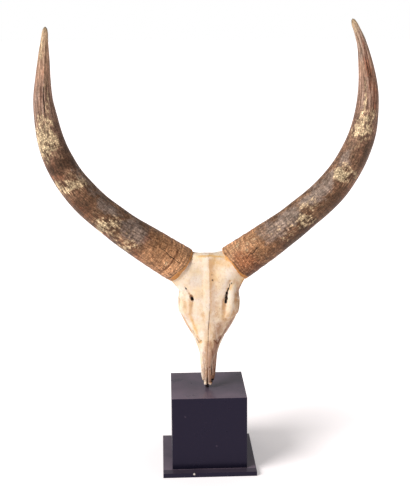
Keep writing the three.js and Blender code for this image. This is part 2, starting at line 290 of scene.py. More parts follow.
# A smooth line through the points, as an even Catmull-Rom curve.
def smoothLine(points, steps):
    points = np.array(points, float)
    held = np.vstack([2 * points[0] - points[1], points, 2 * points[-1] - points[-2]])
    t = np.linspace(0, len(points) - 1, steps)
    span = np.minimum(t.astype(int), len(points) - 2)
    t = (t - span)[:, None]
    p0, p1, p2, p3 = (held[span + k] for k in range(4))
    slope1, slope2 = (p2 - p0) / 2, (p3 - p1) / 2
    return (
        p1 + slope1 * t
        + (3 * (p2 - p1) - 2 * slope1 - slope2) * t ** 2
        + (2 * (p1 - p2) + slope1 + slope2) * t ** 3
    )


# A tapering bar with an oval section. sizes holds (width, depth) at even steps along the line.
def bar(points, sizes, steps=14):
    line = smoothLine(points, steps)
    given = np.linspace(0, 1, len(sizes))
    wanted = np.linspace(0, 1, steps)
    halves = np.stack([np.interp(wanted, given, column) / 2 for column in zip(*sizes)], axis=1)
    reach = halves.max()

    def distance(x, y, z):
        best = None
        for start, end, first, last in zip(line[:-1], line[1:], halves[:-1], halves[1:]):
            along = end - start
            length = np.linalg.norm(along)
            along = along / length
            out = np.cross((0, 1, 0), along)
            out = out / np.linalg.norm(out)
            deep = np.cross(along, out)
            px, py, pz = x - start[0], y - start[1], z - start[2]
            run = px * along[0] + py * along[1] + pz * along[2]
            t = np.clip(run / length, 0, 1)
            over = run - t * length
            a = px * out[0] + py * out[1] + pz * out[2]
            b = px * deep[0] + py * deep[1] + pz * deep[2]
            wide, thick = (first[k] + (last[k] - first[k]) * t for k in (0, 1))
            cap = np.minimum(wide, thick)
            near = np.sqrt((a / wide) ** 2 + (b / thick) ** 2 + (over / cap) ** 2)
            steep = np.sqrt(
                (a / wide ** 2) ** 2 + (b / thick ** 2) ** 2 + (over / cap ** 2) ** 2
            )
            found = near * (near - 1) / (steep + 1e-6)
            best = found if best is None else np.minimum(best, found)
        return best

    return line.min(0) - reach, line.max(0) + reach, distance


# Columns of a table at given places, on smooth curves through its rows.
def smoothTable(rows, at):
    rows = np.array(rows, float)
    places, values = rows[:, 0], rows[:, 1:]
    slopes = np.gradient(values, places, axis=0)
    at = np.clip(at, places[0], places[-1])
    row = np.clip(np.searchsorted(places, at, side="right") - 1, 0, len(places) - 2)
    width = places[row + 1] - places[row]
    t = (at - places[row]) / width
    found = []
    for column in range(values.shape[1]):
        start, end = values[row, column], values[row + 1, column]
        rise1, rise2 = slopes[row, column] * width, slopes[row + 1, column] * width
        found.append(
            start + rise1 * t
            + (3 * (end - start) - 2 * rise1 - rise2) * t ** 2
            + (2 * (start - end) + rise1 + rise2) * t ** 3
        )
    return found


# A body through stations of (z, half width, y of the face, of the widest line, of the back).
def loft(stations, cell, inset=0, endRound=6):
    rows = np.array(stations, float)

    def distance(x, y, z):
        half, face, wide, back = (column.astype(np.float32) for column in smoothTable(rows, z))
        power = np.interp(z, *np.array(frontPower).T).astype(np.float32)
        ahead = y < wide
        power = np.where(ahead, power, np.float32(2.5))
        reach = np.where(ahead, wide - face, back - wide) - inset
        high = np.clip((wide - y) / reach, 0, 1)
        y = y - roofSlope * high * (np.sqrt(x ** 2 + 36) - 6)   # a low roof along the middle
        squareness = (
            (np.abs(x) / (half - inset)) ** power + (np.abs(y - wide) / reach) ** power
        ) ** (1 / power)
        level = squareness - 1
        steep = np.sqrt(sum(slope ** 2 for slope in np.gradient(level, cell)))
        level = np.clip(level / np.maximum(steep, 1e-3), -40, 40)
        for past in (rows[0, 0] - z, z - rows[-1, 0]):
            level = -softMin(-level, -past + 0 * level, endRound)
        return level

    half = rows[:, 1].max()
    low = np.array([-half, rows[:, 2].min(), rows[0, 0]])
    high = np.array([half, rows[:, 4].max(), rows[-1, 0]])
    return low - 8, high + 8, distance


# Slow random swells, for the unevenness of grown bone. All rooms share one lattice of random
# values, so that bones sculpted apart still meet in one surface.
latticeSpan = (-170, 540)


def swells(room, wavelength, seed):
    random = np.random.default_rng(seed)
    count = int((latticeSpan[1] - latticeSpan[0]) / wavelength) + 4
    values = random.standard_normal((count, count, count), dtype=np.float32)
    for k, axis in enumerate(room["axes"]):
        t = (axis - latticeSpan[0]) / wavelength
        first = t.astype(int)
        t = t - first
        values = np.moveaxis(values, k, 0)[first[0]:first[-1] + 4]
        weights = np.zeros((len(axis), len(values)), np.float32)
        shares = [
            (1 - t) ** 3 / 6, (3 * t ** 3 - 6 * t ** 2 + 4) / 6,
            (-3 * t ** 3 + 3 * t ** 2 + 3 * t + 1) / 6, t ** 3 / 6,
        ]
        for offset, share in enumerate(shares):
            weights[np.arange(len(axis)), first - first[0] + offset] += share
        values = np.moveaxis(np.tensordot(weights, values, 1), 0, k)
    return values


def addSwells(room, unevenness, seed):
    for offset, (wavelength, height) in enumerate(unevenness):
        room["field"] += height * swells(room, wavelength, seed + offset)


def softened(field, times):
    for _ in range(times):
        for k in range(3):
            moved = np.moveaxis(field, k, 0)
            calm = moved.copy()
            calm[1:-1] = (moved[:-2] + 2 * moved[1:-1] + moved[2:]) / 4
            field = np.moveaxis(calm, 0, k)
    return field


def sample(room, values, points):
    at = (points - room["low"]) / room["cell"]
    at = np.clip(at, 0, np.array(values.shape) - 1.001)
    first = at.astype(int)
    t = at - first
    found = 0
    for corner in np.ndindex(2, 2, 2):
        weight = np.prod([t[:, k] if corner[k] else 1 - t[:, k] for k in range(3)], axis=0)
        found = found + weight * values[tuple(first[:, k] + corner[k] for k in range(3))]
    return found


def meshFrom(room, name):
    field = room["field"]
    for k in range(3):
        walls = np.moveaxis(field, k, 0)
        walls[0] = walls[-1] = 4
    grid = vdb.FloatGrid(4.0)
    grid.copyFromArray(np.ascontiguousarray(np.clip(field / room["cell"], -4, 4)))
    points, quads = grid.convertToQuads(isovalue=0.0)
    points = points * room["cell"] + room["low"]
    corners = points[quads[:, 0]], points[quads[:, 1]], points[quads[:, 2]]
    volume = np.einsum("ij,ij->i", corners[0], np.cross(corners[1], corners[2])).sum()
    if volume < 0:
        quads = quads[:, ::-1]
    mesh = bpy.data.meshes.new(name)
    mesh.from_pydata((points * mm).tolist(), [], quads.tolist())
    mesh.polygons.foreach_set("use_smooth", [True] * len(quads))
    return addObject(name, mesh), points


def storeOn(mesh, name, values):
    values = np.asarray(values, dtype=np.float32)
    kind, field = ("FLOAT", "value") if values.ndim == 1 else ("FLOAT_VECTOR", "vector")
    mesh.attributes.new(name, kind, "POINT").data.foreach_set(field, values.ravel())


# How far points lie from the line between two others, with depths (y) counted at a given share.
def fromSegment(points, start, end, depthShare):
    points, start, end = (np.array(v, float) * (1, depthShare, 1) for v in (points, start, end))
    along = end - start
    t = np.clip((points - start) @ along / max(along @ along, 1e-9), 0, 1)
    return np.linalg.norm(points - start - t[:, None] * along, axis=1)


# Paint strokes of (from, to, half width in mm, strength), as a soft cover from 0 to 1.
def strokesAt(points, strokes, depthShare=1):
    cover = np.zeros(len(points))
    for start, end, wide, strength in strokes:
        away = fromSegment(points, start, end, depthShare)
        cover = np.maximum(cover, strength * np.exp(-(away / wide) ** 2))
    return cover


# Sections of the face and of the frontal bones that roof the skull, and of the brain case.
faceStations = [
    (0, 9, 25, 29, 34), (7, 14.5, 22.5, 28, 37), (19, 20.3, 19.5, 28, 40), (37, 24.4, 15, 28, 44),
    (60, 26.8, 8.5, 28, 48), (92, 29.4, 1, 28, 56), (116, 31.8, 0, 31, 62), (137, 38, 0, 37, 70),
    (164, 50, 0, 46, 82), (190, 62.5, 0, 55, 90), (213, 77, 0, 60, 94), (231, 87, 1, 60, 96),
    (249, 95, 1, 57, 97), (270, 98.5, 0, 55, 97), (292, 92, 0, 54, 96), (314, 78, 4, 52, 94),
    (334, 58, 12, 52, 90),
]
frontalStations = [
    (228, 60, 3, 22, 36), (249, 87, 1, 24, 42), (268, 103, 0, 28, 50), (284, 106.5, -2, 30, 54),
    (304, 101, -3, 29, 48), (328, 99.5, -3, 29, 42), (346, 105, -3, 32, 50),
    (366, 111, -3, 38, 66), (392, 107, -3, 43, 80), (422, 92, -3, 44, 84), (448, 72, -1, 38, 72),
    (464, 56, 3, 32, 56), (471, 42, 12, 30, 46),
]
brainStations = [
    (288, 34, 20, 62, 100), (315, 44, 14, 64, 110), (348, 55, 10, 68, 118), (390, 61, 8, 70, 124),
    (432, 58, 10, 70, 126), (452, 44, 20, 68, 116),
]
roofSlope = 0.05
# How square the front of a section is by its height: 2 is an ellipse, and more is squarer.
frontPower = [(0, 2.1), (60, 2.0), (137, 2.0), (200, 2.2), (260, 2.5), (330, 2.8), (471, 2.8)]

# The middle of each horn in the skull's frame, from its root in the bone. The second point is
# at the sheath's rim.
hornLines = {
    "right": [
        (-30, 70, 374), (-103.9, 50, 423.8), (-203.1, 16, 493.1), (-313.8, -16, 574),
        (-434.4, -27, 681), (-519.2, -22, 815.9), (-555.9, -8, 969.4), (-558, 14, 1126.5),
        (-553.6, 34, 1228.5),
    ],
    "left": [
        (19, 62, 376), (92.7, 50, 433.5), (195.6, 32, 512.7), (303.2, 17, 598.5),
        (419, 6, 712.4), (497.4, 5, 852.7), (524, 14, 1009.6), (504, 30, 1166.1),
        (468, 48, 1266),
    ],
}
hornLength = 1010    # mm along the sheath's curve


# Places and directions along a horn, at distances from the sheath's rim.
def hornFrames(side, distances):
    points = hornLines[side]
    line = smoothLine(points, 2001)
    lengths = np.concatenate([[0], np.linalg.norm(np.diff(line, axis=0), axis=1).cumsum()])
    rim = lengths[round(2000 / (len(points) - 1))]
    distances = np.asarray(distances, float)
    stretch = (lengths[-1] - rim) / hornLength
    at = np.clip(rim + np.where(distances > 0, distances * stretch, distances), 0, lengths[-1])
    centres = np.stack([np.interp(at, lengths, line[:, k]) for k in range(3)], axis=1)
    slopes = np.gradient(line, lengths, axis=0)
    along = np.stack([np.interp(at, lengths, slopes[:, k]) for k in range(3)], axis=1)
    along = along / np.linalg.norm(along, axis=1)[:, None]
    up = np.cross((0, -1, 0), along) * sides[side]
    up = up / np.linalg.norm(up, axis=1)[:, None]
    front = np.cross(along, up) * sides[side]
    return centres, up, front


bone = {
    "cell": 2.0,
    "orbit": {"x": 100.5, "y": 47, "z": 290, "radius": 30, "rim": 7.5, "rimInset": 5, "opening": 28,
              "turn": 12, "depth": 42},
    "coreSizes": [(-92, 48), (-50, 70), (-28, 65), (-8, 59.5), (14, 56)],
    "coreDrop": 1,
    "unevenness": [(9, 0.22), (26, 0.7)],   # wavelength and height of its swells
    "seed": 11,
    "wall": 7,
    "closedFrom": 236,       # height above which the seam beside the nasal bones has closed
    # Middle seam as (height, x), and the tan band of painted shade on its left side, away from the
    # light, as (height, strength).
    "seam": [(120, -1), (206, -0.6), (273, 3), (374, 0.4), (464, -3.4)],
    "shadeBand": [(190, 0.55), (250, 0.75), (330, 0.85), (385, 1.15), (440, 1.3), (462, 0.7)],
    "colours": {
        "fresh": "#f7e6d3", "creamy": "#f1d5aa", "tan": "#cb9862", "rosy": "#a16c56",
        "yellow": "#e9b565", "earth": "#74431f", "dark": "#100804", "mottle": "#cf9f72",
    },
}
gap = 0.3    # mm left between one piece and the next
rodPlace = (-3, -19)
bore = {"width": 12.8, "reach": (200, 508.3)}    # mm, its reach as heights over the floor
nasalTip, nasalTop = 62, 258
# The sections of the face that the passage of the nose and the nasal bones lie in.
noseRows = [row for row in faceStations if 37 <= row[0] <= 164]
nasalRows = [row for row in faceStations if 60 <= row[0] <= 292]

# Parts of the skull as (line of points, (width, depth) along it, mm over which it blends in).
# The paired ones are given for the left side.
pairedBones = {
    "cheekArch": (
        [(58, 68, 184), (80, 64, 226), (95, 78, 262), (99, 86, 306), (94, 88, 345), (80, 84, 378)],
        [(10, 24), (14, 34), (15, 30), (13, 24), (13, 20), (15, 18)], 9),
    "jointSeat": ([(94, 84, 366), (70, 78, 384), (44, 72, 396)], [(26, 26), (34, 40)], 8),
    "eyeBar": ([(93, 20, 319), (97, 48, 326), (98, 84, 319)], [(22, 16), (13, 14), (16, 16)], 7),
    "upperJaw": ([(22, 58, 98), (30, 84, 136), (40, 96, 185), (50, 99, 240), (56, 90, 300)],
                 [(8, 14), (20, 24), (26, 32), (30, 38), (30, 36)], 8),
    "neckKnob": ([(12, 134, 420), (27, 130, 431), (31, 102, 440)], [(20, 24), (26, 24), (24, 20)], 4),
    "neckSpur": ([(54, 76, 426), (57, 126, 412), (51, 162, 402)], [(46, 36), (28, 22), (13, 12)], 8),
}
pairedHollows = {
    "eyeNerve": ([(70, 60, 300), (46, 66, 322)], [(14, 14), (8, 8)], 3),
    "temple": ([(84, 66, 340), (76, 66, 356), (82, 70, 366)], [(26, 30), (22, 26), (16, 16)], 6),
    "muzzleNerve": ([(50, 50, 148), (38, 48, 170)], [(9, 8), (6, 6)], 2),
    "ear": ([(72, 84, 404), (52, 88, 400)], [(9, 9), (7, 7)], 3),
}
# The palate, then the grooves of the brow, with the holes that they run from.
middleHollows = {
    "palate": ([(0, 103, 130), (0, 104, 200), (0, 104, 250)], [(34, 8), (52, 10), (60, 12)], 8),
    "rightGroove": (
        [(-80, -6, 356), (-71, -5, 335), (-61, -4, 312), (-58, -4, 270), (-52, -3, 225), (-44, -2, 180)],
        [(8, 7), (13, 9), (13, 9), (11, 6), (9, 5), (6, 3)], 8),
    "leftGroove": (
        [(72, -7, 380), (65, -5, 350), (58, -5, 315), (55, -5, 270), (50, -4, 230), (44, -2, 185)],
        [(7, 5), (10, 9), (12, 10), (11, 7), (9, 5), (6, 3)], 9),
    "rightDish": ([(-76, -5, 344), (-66, -3, 328), (-60, 0, 318)], [(6, 5), (9, 8), (10, 10)], 5),
    "rightHole": ([(-60, -9, 319), (-57, 6, 312), (-54, 18, 300)], [(9, 11), (8, 10), (6, 6)], 2),
    "rightPinhole": ([(-81, -8, 353), (-77, 4, 348)], [(5, 5), (4, 4)], 1.5),
    "leftSlit": ([(72, -8, 374), (67.5, -4, 354), (61.5, 0, 337), (59, 3, 320), (57, -2, 300)],
                 [(3.0, 7), (4.2, 12), (6.4, 22), (9.0, 28), (6.4, 12)], 1.6),
    "leftDish": ([(66, -5, 345), (58, -4, 325), (53, -3, 300), (52, -3, 270)],
                 [(5, 4), (9, 7), (9, 7), (6, 4)], 6),
}
faceRidges = {
    "leftBrow": ([(80, 5, 360), (78, 4, 320), (74, 4, 284), (66, 4, 250)],
                 [(14, 7), (16, 8), (15, 7), (12, 5)], 12),
    "middle": ([(-4, 3.6, 456), (-2, 1.2, 400), (0, 1.2, 300), (0, 2.6, 240)],
               [(18, 6), (20, 7), (18, 6), (12, 4)], 12),
}


def hornCore(side):
    distances = np.linspace(bone["coreSizes"][0][0], bone["coreSizes"][-1][0], 12)
    centres, up, front = hornFrames(side, distances)
    radii = np.interp(distances, *zip(*bone["coreSizes"]))
    centres = centres - up * bone["coreDrop"]

    def distance(x, y, z):
        best = None
        for start, end, first, last in zip(centres[:-1], centres[1:], radii[:-1], radii[1:]):
            along = end - start
            px, py, pz = x - start[0], y - start[1], z - start[2]
            t = np.clip((px * along[0] + py * along[1] + pz * along[2]) / (along @ along), 0, 1)
            away = (px - t * along[0]) ** 2 + (py - t * along[1]) ** 2 + (pz - t * along[2]) ** 2
            found = np.sqrt(away) - (first + (last - first) * t)
            best = found if best is None else np.minimum(best, found)
        middle, axis = centres[-1], centres[-1] - centres[-2]
        axis = axis / np.linalg.norm(axis)
        past = (x - middle[0]) * axis[0] + (y - middle[1]) * axis[1] + (z - middle[2]) * axis[2]
        return -softMin(-best, -past, 4)

    return centres.min(0) - 72, centres.max(0) + 60, distance


# The steel rod's bore, which runs straight up in the world and so slants in the skull.
def rodBore():
    toSkull = skullMatrix.inverted()
    ends = [toSkull @ Matrix.Translation([v * mm for v in (*rodPlace, z)]).to_translation()
            for z in bore["reach"]]
    points = [[v / mm for v in end] for end in ends]
    return bar(points, [(bore["width"], bore["width"])] * 2, steps=2)


# Where the nasal bones lie, seen from the front: more than 0 outside their plan. Above the
# notches their edges may cover the bone beside them, as in an old skull with closed seams.
def nasalPlan(side, grow, soft, cover=0):
    outline = [
        (nasalTip - 3, 4), (nasalTip + 2, 9), (nasalTip + 12, 10.5), (98, 12.5), (116, 22),
        (134, 27), (160, 27.5), (200, 22), (nasalTop - 18, 15.5), (nasalTop - 3, 9),
        (nasalTop + 5, 0),
    ]

    def distance(x, y, z):
        across = x * side
        width = np.interp(z, *zip(*outline)) + grow + cover * np.clip((z - 112) / 14, 0, 1)
        outer = (across - width) / 1.05
        inner = 0.15 - grow - across
        lower = nasalTip + 0.9 * np.abs(across - 5) - grow - z
        upper = z - nasalTop - grow - cover
        level = -softMin(-outer, -inner, soft)
        level = -softMin(-level, -lower, soft)
        return -softMin(-level, -upper, soft) + 0 * y

    low = np.array([min(0, side * 30) - 2, -12, nasalTip - 4])
    return low, low + (34, 70, nasalTop - nasalTip + 10), distance


# The slanted seam between the snout's end bones and the face: less than 0 on the snout's side.
def snoutEnd(offset):
    seam = [(-20, 172), (18, 166), (70, 100)]

    def distance(x, y, z):
        top = np.interp(y, *zip(*seam)) + offset
        slope = np.where(y > 18, 0.62, 0.99)
        waver = 2.2 * np.sin(x * 0.33 + 0.6) + 1.3 * np.sin(x * 0.71)
        return (z - top - waver * (y < 60)) * slope

    return np.array([-60, -30, -30.0]), np.array([60, 100, 185.0]), distance


# Distance to what lies under the nasal bones, which is cleared for them with a small gap.
def underNasals(room):
    cell = room["cell"]
    under = openRoom(room["low"], [axis[-1] - cell / 2 for axis in room["axes"]], cell)
    under["field"] = np.full_like(room["field"], 40)
    addShape(under, loft(nasalRows, cell, bone["wall"] + gap, 1), 1)
    return under["field"]


def sculptCranium():
    cell, orbit = bone["cell"], bone["orbit"]
    room = openRoom((-150, -34, 54), (150, 172, 520), cell)
    addShape(room, loft(faceStations, cell), 1)
    addShape(room, loft(frontalStations, cell, endRound=9), 9)
    addShape(room, loft(brainStations, cell, endRound=9), 9)
    addShape(room, ellipsoid((0, 66, 424), (84, 60, 40)), 12)           # back of the brain case
    addShape(room, ellipsoid((0, 104, 424), (44, 30, 30)), 10)          # round the neck's opening
    addShape(room, roundedBox((-18, 96, 318), (18, 124, 438), 7), 8)    # base of the brain case
    for side in sides.values():
        for points, sizes, soft in pairedBones.values():
            addShape(room, bar(mirrored(points, side), sizes), soft)
        addShape(room, ellipsoid((side * 37, 124, 382), (10, 18, 18)), 5)    # ear capsule
        addShape(room, bar(mirrored([(26, 100, 276), (25, 116, 300), (20, 112, 346)], side),
                           [(8, 34), (9, 26), (10, 22)]), 5)                 # wing behind the palate
        addShape(room, ellipsoid((side * 54, 72, 196), (8, 8, 14)), 14)      # face tubercle
        addShape(room, ring((side * (orbit["x"] - orbit["rimInset"]), orbit["y"], orbit["z"]),
                            orbit["radius"], orbit["rim"], -orbit["turn"] * side), 6)
    # The crest across the back of the poll and the bump where the neck was tied to it.
    addShape(room, bar([(-66, 50, 430), (-34, 58, 441), (0, 62, 442), (34, 58, 441), (66, 50, 430)],
                       [(12, 12)] * 3), 10)
    addShape(room, ellipsoid((0, 82, 434), (12, 12, 9)), 9)
    for side in sides:
        addShape(room, hornCore(side), 14)
    print("  bones joined")

    for side in sides.values():
        opening = (orbit["depth"], orbit["opening"], orbit["opening"])
        cutShape(room, ellipsoid((side * orbit["x"], orbit["y"], orbit["z"]), opening,
                                 -orbit["turn"] * side), 3)
        for points, sizes, soft in pairedHollows.values():
            cutShape(room, bar(mirrored(points, side), sizes), soft)
        cutShape(room, ellipsoid((side * 72, 103, 380), (20, 10, 10)), 4)   # the jaw joint's hollow
    cutShape(room, ellipsoid((0, 110, 452), (17, 17, 32)), 4)               # the neck's opening
    cutShape(room, ellipsoid((0, 108, 296), (15, 15, 34)), 4)               # back of the nose
    for points, sizes, soft in middleHollows.values():
        cutShape(room, bar(points, sizes), soft)
    for points, sizes, soft in faceRidges.values():
        addShape(room, bar(points, sizes), soft)

    # The outer surface as it is now goes on over the nasal bones, which are sculpted apart.
    addSwells(room, bone["unevenness"], bone["seed"])
    skin = {**room, "field": room["field"].copy()}

    # Inside of the nose, room for the nasal bones, the snout's seam and the rod's bore.
    cutShape(room, loft(noseRows, cell, bone["wall"], 4), 2)
    under = underNasals(room)
    for side in sides.values():
        low, high, plan = nasalPlan(side, gap, 0.6)
        cells, places = cellsIn(room, low, high)
        nasalRoom = -softMin(-plan(*places), under[cells], 1)
        nasalRoom = -softMin(-nasalRoom, (places[2] - bone["closedFrom"]) * -0.7, 6)
        room["field"][cells] = -softMin(-room["field"][cells], nasalRoom, 0.6)
    cutShape(room, snoutEnd(0), 1)
    cutShape(room, rodBore(), 1)
    return room, skin


# Strokes of colour on the skull, in its own frame: yellow-brown and rosy brown stains, which on the +x
# side, away from the light, are also painted shade; the yellow of old fat; dirt in the seams; and
# painted shade, near black, inside the holes.
boneStrokes = {
    # Yellow-brown: stains, and on the +x side, away from the light, also painted shade.
    "tan": [
        ((16, 0, 456), (12, -2, 410), 12, 0.5), ((-76, 0, 346), (-63, 2, 324), 5, 1.1),
        ((-60, 0, 320), (-65, 4, 262), 9, 0.8), ((-65, 4, 262), (-50, 6, 200), 8, 0.65),
        ((-50, 8, 215), (-36, 8, 172), 7, 0.6), ((64, -2, 352), (54, -2, 318), 5, 0.9),
        ((53, 0, 310), (50, 0, 230), 11, 0.85), ((60, 4, 250), (34, 4, 175), 26, 0.65),
        ((78, 6, 250), (50, 10, 180), 22, 0.6), ((0, 0, 200), (0, 0, 130), 24, 0.45),
        ((-24, 0, 120), (-22, 14, 40), 9, 0.45), ((-70, 6, 440), (-96, 20, 396), 10, 0.4),
        ((88, 6, 380), (100, 20, 352), 16, 0.55), ((96, 10, 330), (100, 20, 262), 16, 0.8),
        ((90, 14, 270), (74, 16, 215), 16, 0.6), ((26, -2, 300), (30, -2, 250), 14, 0.5),
        ((-20, -2, 262), (-16, -2, 240), 9, 0.5), ((-34, -2, 330), (-30, -2, 300), 14, 0.3),
        ((2, 0, 160), (2, 12, 40), 17, 0.8), ((28, 0, 205), (24, 2, 160), 22, 0.66),
        ((-84, 10, 300), (-72, 10, 240), 10, 0.42), ((-98, 46, 276), (-56, 42, 184), 14, 0.9),
    ],
    # Rosy brown: stains on the snout, and on the +x side, away from the light, also painted shade.
    "rosy": [
        ((4, 0, 120), (4, 16, 20), 13, 0.8), ((16, 8, 130), (14, 20, 10), 13, 1.0),
        ((26, 10, 160), (22, 24, 20), 13, 1.0), ((36, 0, 215), (28, 0, 160), 17, 0.5),
        ((0, 0, 150), (0, 4, 90), 18, 0.55), ((-14, 6, 120), (-14, 18, 20), 9, 0.55),
        ((100, 24, 345), (104, 40, 262), 15, 0.85), ((96, 30, 262), (56, 36, 180), 15, 0.85),
        ((110, 30, 372), (104, 28, 345), 12, 0.7), ((33, 8, 166), (42, 14, 176), 7, 1.3),
        ((-34, 8, 168), (-42, 12, 178), 5, 0.6),
    ],
    "yellow": [
        ((-66, 10, 456), (-92, 16, 410), 9, 0.85), ((-92, 16, 410), (-112, 30, 372), 9, 0.75),
        ((62, 10, 458), (88, 12, 412), 14, 1.1), ((88, 12, 412), (112, 26, 374), 12, 1.0),
        ((-60, 4, 465), (60, 4, 465), 6, 0.9), ((20, 0, 448), (64, 0, 436), 16, 0.55),
        ((-64, 12, 258), (-44, 12, 190), 8, 0.6), ((-44, 12, 178), (-30, 8, 160), 7, 1.0),
        ((78, 0, 366), (70, 0, 350), 5, 0.7),
    ],
    "soil": [
        ((-55, 20, 196), (-44, 12, 171), 3.2, 0.75), ((-44, 12, 171), (-34, 9, 156), 3.4, 1.0),
        ((-34, 9, 156), (-25, 5, 166), 3.0, 0.75), ((58, 26, 200), (43, 18, 172), 3.0, 0.75),
        ((43, 18, 172), (33, 9, 154), 3.8, 1.2), ((20, 5, 168), (32, 9, 153), 3.4, 0.95),
        ((-34, 12, 158), (-30, 10, 140), 1.8, 0.45), ((34, 10, 156), (31, 12, 138), 2.4, 0.7),
        ((-3.4, 0, 464), (0.4, 0, 374), 2.2, 0.5), ((0.4, 0, 374), (3, 0, 300), 2.2, 0.6),
        ((3, 0, 300), (3, 0, 273), 2.4, 0.8), ((3, 0, 273), (1, 0, 240), 2.6, 1.0),
        ((1, 0, 240), (-0.6, 0, 206), 2.4, 0.9), ((-0.6, 0, 206), (-1, 0, 150), 2.0, 0.7),
        ((-84, 0, 356), (-80, 0, 350), 3, 0.6), ((15, 4, 126), (13, 12, 70), 1.8, 0.7),
        ((-2.6, 8, 66), (-2.3, 20, 20), 2.8, 0.8), ((-26, 16, 40), (-20, 24, 6), 3, 0.6),
        ((24, 16, 60), (17, 24, 4), 4, 0.85), ((-70, 6, 462), (-60, 6, 466), 3, 0.5),
        ((-62, 0, 324), (-59, 2, 315), 6.5, 1.15), ((12, 14, 60), (14, 20, 24), 2.6, 0.8),
        ((66, 0, 352), (59, 2, 318), 4.2, 0.65), ((57, 0, 302), (56, 0, 290), 3.6, 0.5),
        ((-2.4, 18, 26), (-2.2, 25, 2), 4.4, 0.9), ((7, 4, 110), (8, 18, 40), 1.3, 0.5),
        ((9.3, 0, 401), (9.3, 0, 401), 3.6, 0.7), ((11, 0, 383), (11, 0, 383), 4.0, 0.9),
        ((-77, 0, 344), (-63, 0, 323), 4.2, 0.5), ((-57, 0, 306), (-59, 0, 286), 4.5, 0.45),
        ((24, 0, 292), (24, 0, 292), 2.2, 0.45), ((-66, 0, 300), (-66, 0, 300), 2.2, 0.4),
    ],
    # Painted shade: near black inside the holes, where the light doesn't reach.
    "holeShade": [
        ((-58.6, 0, 317), (-57, 6, 312), 5.2, 1.2), ((-81, 0, 352), (-79, 4, 349), 3.0, 1.0),
        ((71, 0, 369), (67, 0, 352), 1.7, 0.9), ((67, 0, 354), (62, 0, 338), 2.6, 1.05),
        ((61.5, 2, 338), (59.5, 2, 324), 4.2, 1.25), ((59.5, 2, 322), (60, 2, 316), 5.0, 1.25),
        ((58.5, 2, 310), (58, 2, 303), 4.4, 1.2), ((11, 0, 383), (11, 4, 383), 3.4, 1.1),
        ((9.3, 0, 401), (9.3, 4, 401), 2.8, 0.85), ((24, 0, 292), (24, 4, 292), 1.8, 0.55),
        ((15.3, 18, 20), (15, 26, 14), 4.6, 1.3), ((-15.6, 20, 15), (-15, 26, 9), 2.2, 0.7),
        ((-2.5, 15, 38), (-2.3, 19.5, 20), 1.2, 0.6), ((-2.3, 19.5, 20), (-2.2, 25, 2), 1.8, 0.9),
        ((12.4, 8, 66), (12.6, 15, 34), 1.5, 0.8), ((77, 0, 373), (76, 4, 369), 2.4, 0.9),
    ],
}


def paintBone(piece, points, room):
    hollow = softened(room["field"], 3) - room["field"]
    fine = np.clip(sample(room, hollow, points) / 0.5 * -1, -1, 1)
    wide = np.clip(sample(room, softened(room["field"], 14) - room["field"], points) / -2.2, -1, 1)
    storeOn(piece.data, "hollow", np.clip(0.5 * fine + 0.7 * wide, 0, 1))
    storeOn(piece.data, "worn", np.clip(-fine, 0, 1))
    # Painted shade: a tan band on the +x side of the middle seam, the side away from the light, fading
    # over about 20 mm.
    past = points[:, 0] - np.interp(points[:, 2], *zip(*bone["seam"]))
    shadeBand = np.clip(past / 1.5, 0, 1) * np.exp(-np.clip(past, 0, 200) / 20)
    shadeBand = shadeBand * np.interp(points[:, 2], *zip(*bone["shadeBand"]), left=0) * (points[:, 1] < 30)
    for name, strokes in boneStrokes.items():
        # The painted shade in the holes and the dirt in the seams are dark all the way down, so depth
        # counts for less there.
        cover = strokesAt(points, strokes, 0.3 if name in ("holeShade", "soil") else 1)
        storeOn(piece.data, name, np.maximum(cover, shadeBand) if name == "tan" else cover)
